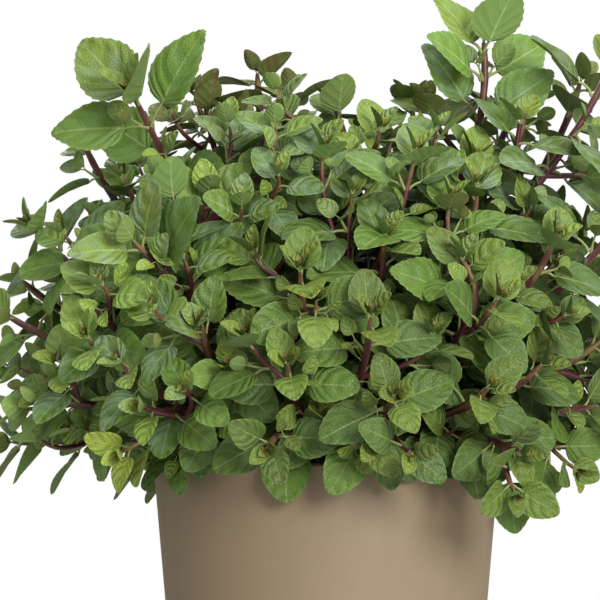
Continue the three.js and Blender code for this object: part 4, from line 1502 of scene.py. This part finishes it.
# How uneven the soil's top is at a place
def unevenAt(place):
    return soilLook["unevenness"] * (noise.fractal(place * 55, 0.9, 2.2, 4) + 0.15)


def soilPiece(finish):
    gap, rings = soilLook["gap"], soilLook["rings"]
    low = pot["floor"] + gap
    reach = potRadius(soilZ) - pot["wall"] - gap
    profile = [(0, low), (potRadius(low) - pot["wall"] - gap, low), (reach, soilZ - 2 * mm)]
    profile += [(reach * (1 - k / rings), soilZ) for k in range(1, rings)]
    profile += [(0, soilZ)]
    mesh = turnedMesh("soil_bed", profile, soilLook["sides"])
    for v in mesh.vertices:
        if v.co.z > soilZ - 3 * mm:
            v.co.z += unevenAt(v.co)
    mesh.materials.append(finish)
    return newPiece("soil_bed", mesh)


# Crumbs of bark and perlite, lying on the soil
def crumbsPiece(finish):
    tree, given, result = newTree("crumbsOnSoil", {
        "Spread": "Float", "Crumb size": "Float", "Count": "Int", "Seed": "Int", "Finish": "Material",
    })
    disc = made(tree, "GeometryNodeMeshCircle", {"Vertices": 48, "Radius": given["Spread"]}, fill_type="NGON")
    area = times(tree, times(tree, given["Spread"], given["Spread"]), math.pi)
    density = calc(tree, "DIVIDE", given["Count"], area)
    points = made(tree, "GeometryNodeDistributePointsOnFaces", {
        "Mesh": disc, "Density": density, "Seed": given["Seed"],
    })
    pale = addNode(tree, "FunctionNodeRandomValue", {"Seed": given["Seed"]}, data_type="FLOAT").outputs[1]
    lump = made(tree, "GeometryNodeMeshIcoSphere", {"Radius": 1.0, "Subdivisions": 1})
    turn = made(tree, "FunctionNodeRandomValue", {0: (0, 0, 0), 1: (6.28, 6.28, 6.28)},
                data_type="FLOAT_VECTOR")
    shape = made(tree, "FunctionNodeRandomValue", {
        0: crumbs["smallest"], 1: crumbs["largest"], "Seed": crumbs["shapeSeed"],
    }, data_type="FLOAT_VECTOR")
    lumps = made(tree, "GeometryNodeInstanceOnPoints", {
        "Points": stored(tree, points, "pale", pale), "Instance": lump,
        "Rotation": made(tree, "FunctionNodeEulerToRotation", {0: turn}),
        "Scale": scaled(tree, shape, given["Crumb size"]),
    })
    endTree(tree, lumps, result, given["Finish"])
    piece = newPiece("soil_crumbs", bpy.data.meshes.new("soil_crumbs"))
    growMesh(piece, tree, {
        "Spread": potRadius(soilZ) - pot["wall"] - crumbs["fromWall"], "Crumb size": crumbs["size"],
        "Count": crumbs["count"], "Seed": crumbs["seed"], "Finish": finish,
    })
    for v in piece.data.vertices:
        v.co.z += soilZ + unevenAt(Vector((v.co.x, v.co.y, soilZ))) + crumbs["lift"]
    return piece


# The camera, the lamps and the floor
view = {"from": (-0.014, -1.5, 0.095), "to": (-0.014, 0.0, 0.265), "lens": 168}
lamps = {
    "keyLight": {"from": (0.8, -1.5, 0.62), "watts": 24.0, "size": 0.7, "gloss": 1.0},
    "topLight": {"from": (0.25, -0.55, 1.75), "watts": 13.0, "size": 1.0, "gloss": 1.0},
    "backLight": {"from": (-0.3, 1.4, 1.2), "watts": 6.0, "size": 0.8, "gloss": 0.25},
}
studio = {"aim": (0, 0, 0.25), "sky": 0.36, "floorReach": 6}
floorLook = {"colour": (0.62, 0.62, 0.61, 1), "roughness": 0.8}


# Puts a camera or a lamp in its place, looking at a point
def aimed(name, data, place, at):
    seer = bpy.data.objects.new(name, data)
    bpy.context.scene.collection.objects.link(seer)
    seer.location = place
    seer.rotation_euler = (Vector(at) - Vector(place)).to_track_quat("-Z", "Y").to_euler()
    return seer


def addCamera():
    camera = aimed("camera", bpy.data.cameras.new("camera"), view["from"], view["to"])
    camera.data.lens = view["lens"]
    bpy.context.scene.camera = camera


def addStudio():
    for name, lamp in lamps.items():
        data = bpy.data.lights.new(name, "AREA")
        data.energy, data.size, data.specular_factor = lamp["watts"], lamp["size"], lamp["gloss"]
        aimed(name, data, lamp["from"], studio["aim"])
    world = bpy.data.worlds.new("studio")
    bpy.context.scene.world = world
    world.use_nodes = True
    tree, sky = world.node_tree, world.node_tree.nodes["Background"].inputs
    seen = addNode(tree, "ShaderNodeLightPath").outputs["Is Camera Ray"]
    tree.links.new(timesPlus(tree, seen, 1.0 - studio["sky"], studio["sky"]), sky["Strength"])
    sky["Color"].default_value = (1, 1, 1, 1)
    mesh = bpy.data.meshes.new("floor")
    far = studio["floorReach"]
    mesh.from_pydata([(-far, -far, 0), (far, -far, 0), (far, far, 0), (-far, far, 0)], [], [(0, 1, 2, 3)])
    mesh.materials.append(newFinish("floorPale", floorLook)[0])
    newPiece("floor", mesh)
    bpy.context.scene.view_settings.view_transform = "Standard"


def countOf(what):
    return sum(len(plant[what]) for plant in plants)


# The plant
placePot()
plants = findStems()
for plant in plants:
    findSideStem(plant)
    place(plant["name"], *tubeOf(plant["smooth"]))
    if "side" in plant:
        place(plant["name"], *tubeOf(plant["side"]["smooth"]))
for plant in plants:
    findLeaves(plant, plant["number"], plant["rings"], mainPairs, plant["tip"])
    if "side" in plant:
        sideTip = {"leaf": sideStem["leafShare"] * plant["tip"]["leaf"]}
        findLeaves(plant, plant["number"] + len(plants), plant["side"]["rings"], sidePairs, sideTip)
report(f"{countOf('leaves')} of the model's leaves found on {len(plants)} stems")
fillBush(plants)
addStems(plants)
report(f"{countOf('leaves')} leaves and {countOf('lines')} stems and stalks")

formsCollection = bpy.data.collections.new("leafForms")
for number, form in enumerate(leafForms):
    formsCollection.objects.link(bpy.data.objects.new(f"form{number}", leafFormMesh(number, form)))
leafOnPoint, stemOnLine = leafTree(), stemTree()
leafSkin = leafFinish()
stemSkins = {"Stem finish": stemFinish(), "Stalk finish": stalkFinish()}
triangles = 0
for plant in plants:
    foliage = leavesPiece(plant, leafOnPoint, formsCollection, leafSkin)
    stems = stemsPiece(plant, stemOnLine, stemSkins)
    for piece, slot in ((foliage, "mint"), (stems, "stem")):
        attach(piece, "root")
        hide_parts(plant["name"])
        triangles += sum(len(p.vertices) - 2 for p in piece.data.polygons)
for shape in list(formsCollection.objects):
    bpy.data.objects.remove(shape)
bpy.data.collections.remove(formsCollection)
report(f"leaves and stems made, {triangles} triangles")

potPiece = newPiece("pot_turned", turnedMesh("pot_turned", potProfile(), potLook["sides"]))
potPiece.data.materials.append(potFinish())
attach(potPiece, "root")
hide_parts("pot")
soilSkin = soilFinish()
for piece in (crumbsPiece(soilSkin), soilPiece(soilSkin)):
    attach(piece, "root")
    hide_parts("soil")
report("pot and soil made")

addCamera()
addStudio()
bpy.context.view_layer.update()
report("done")
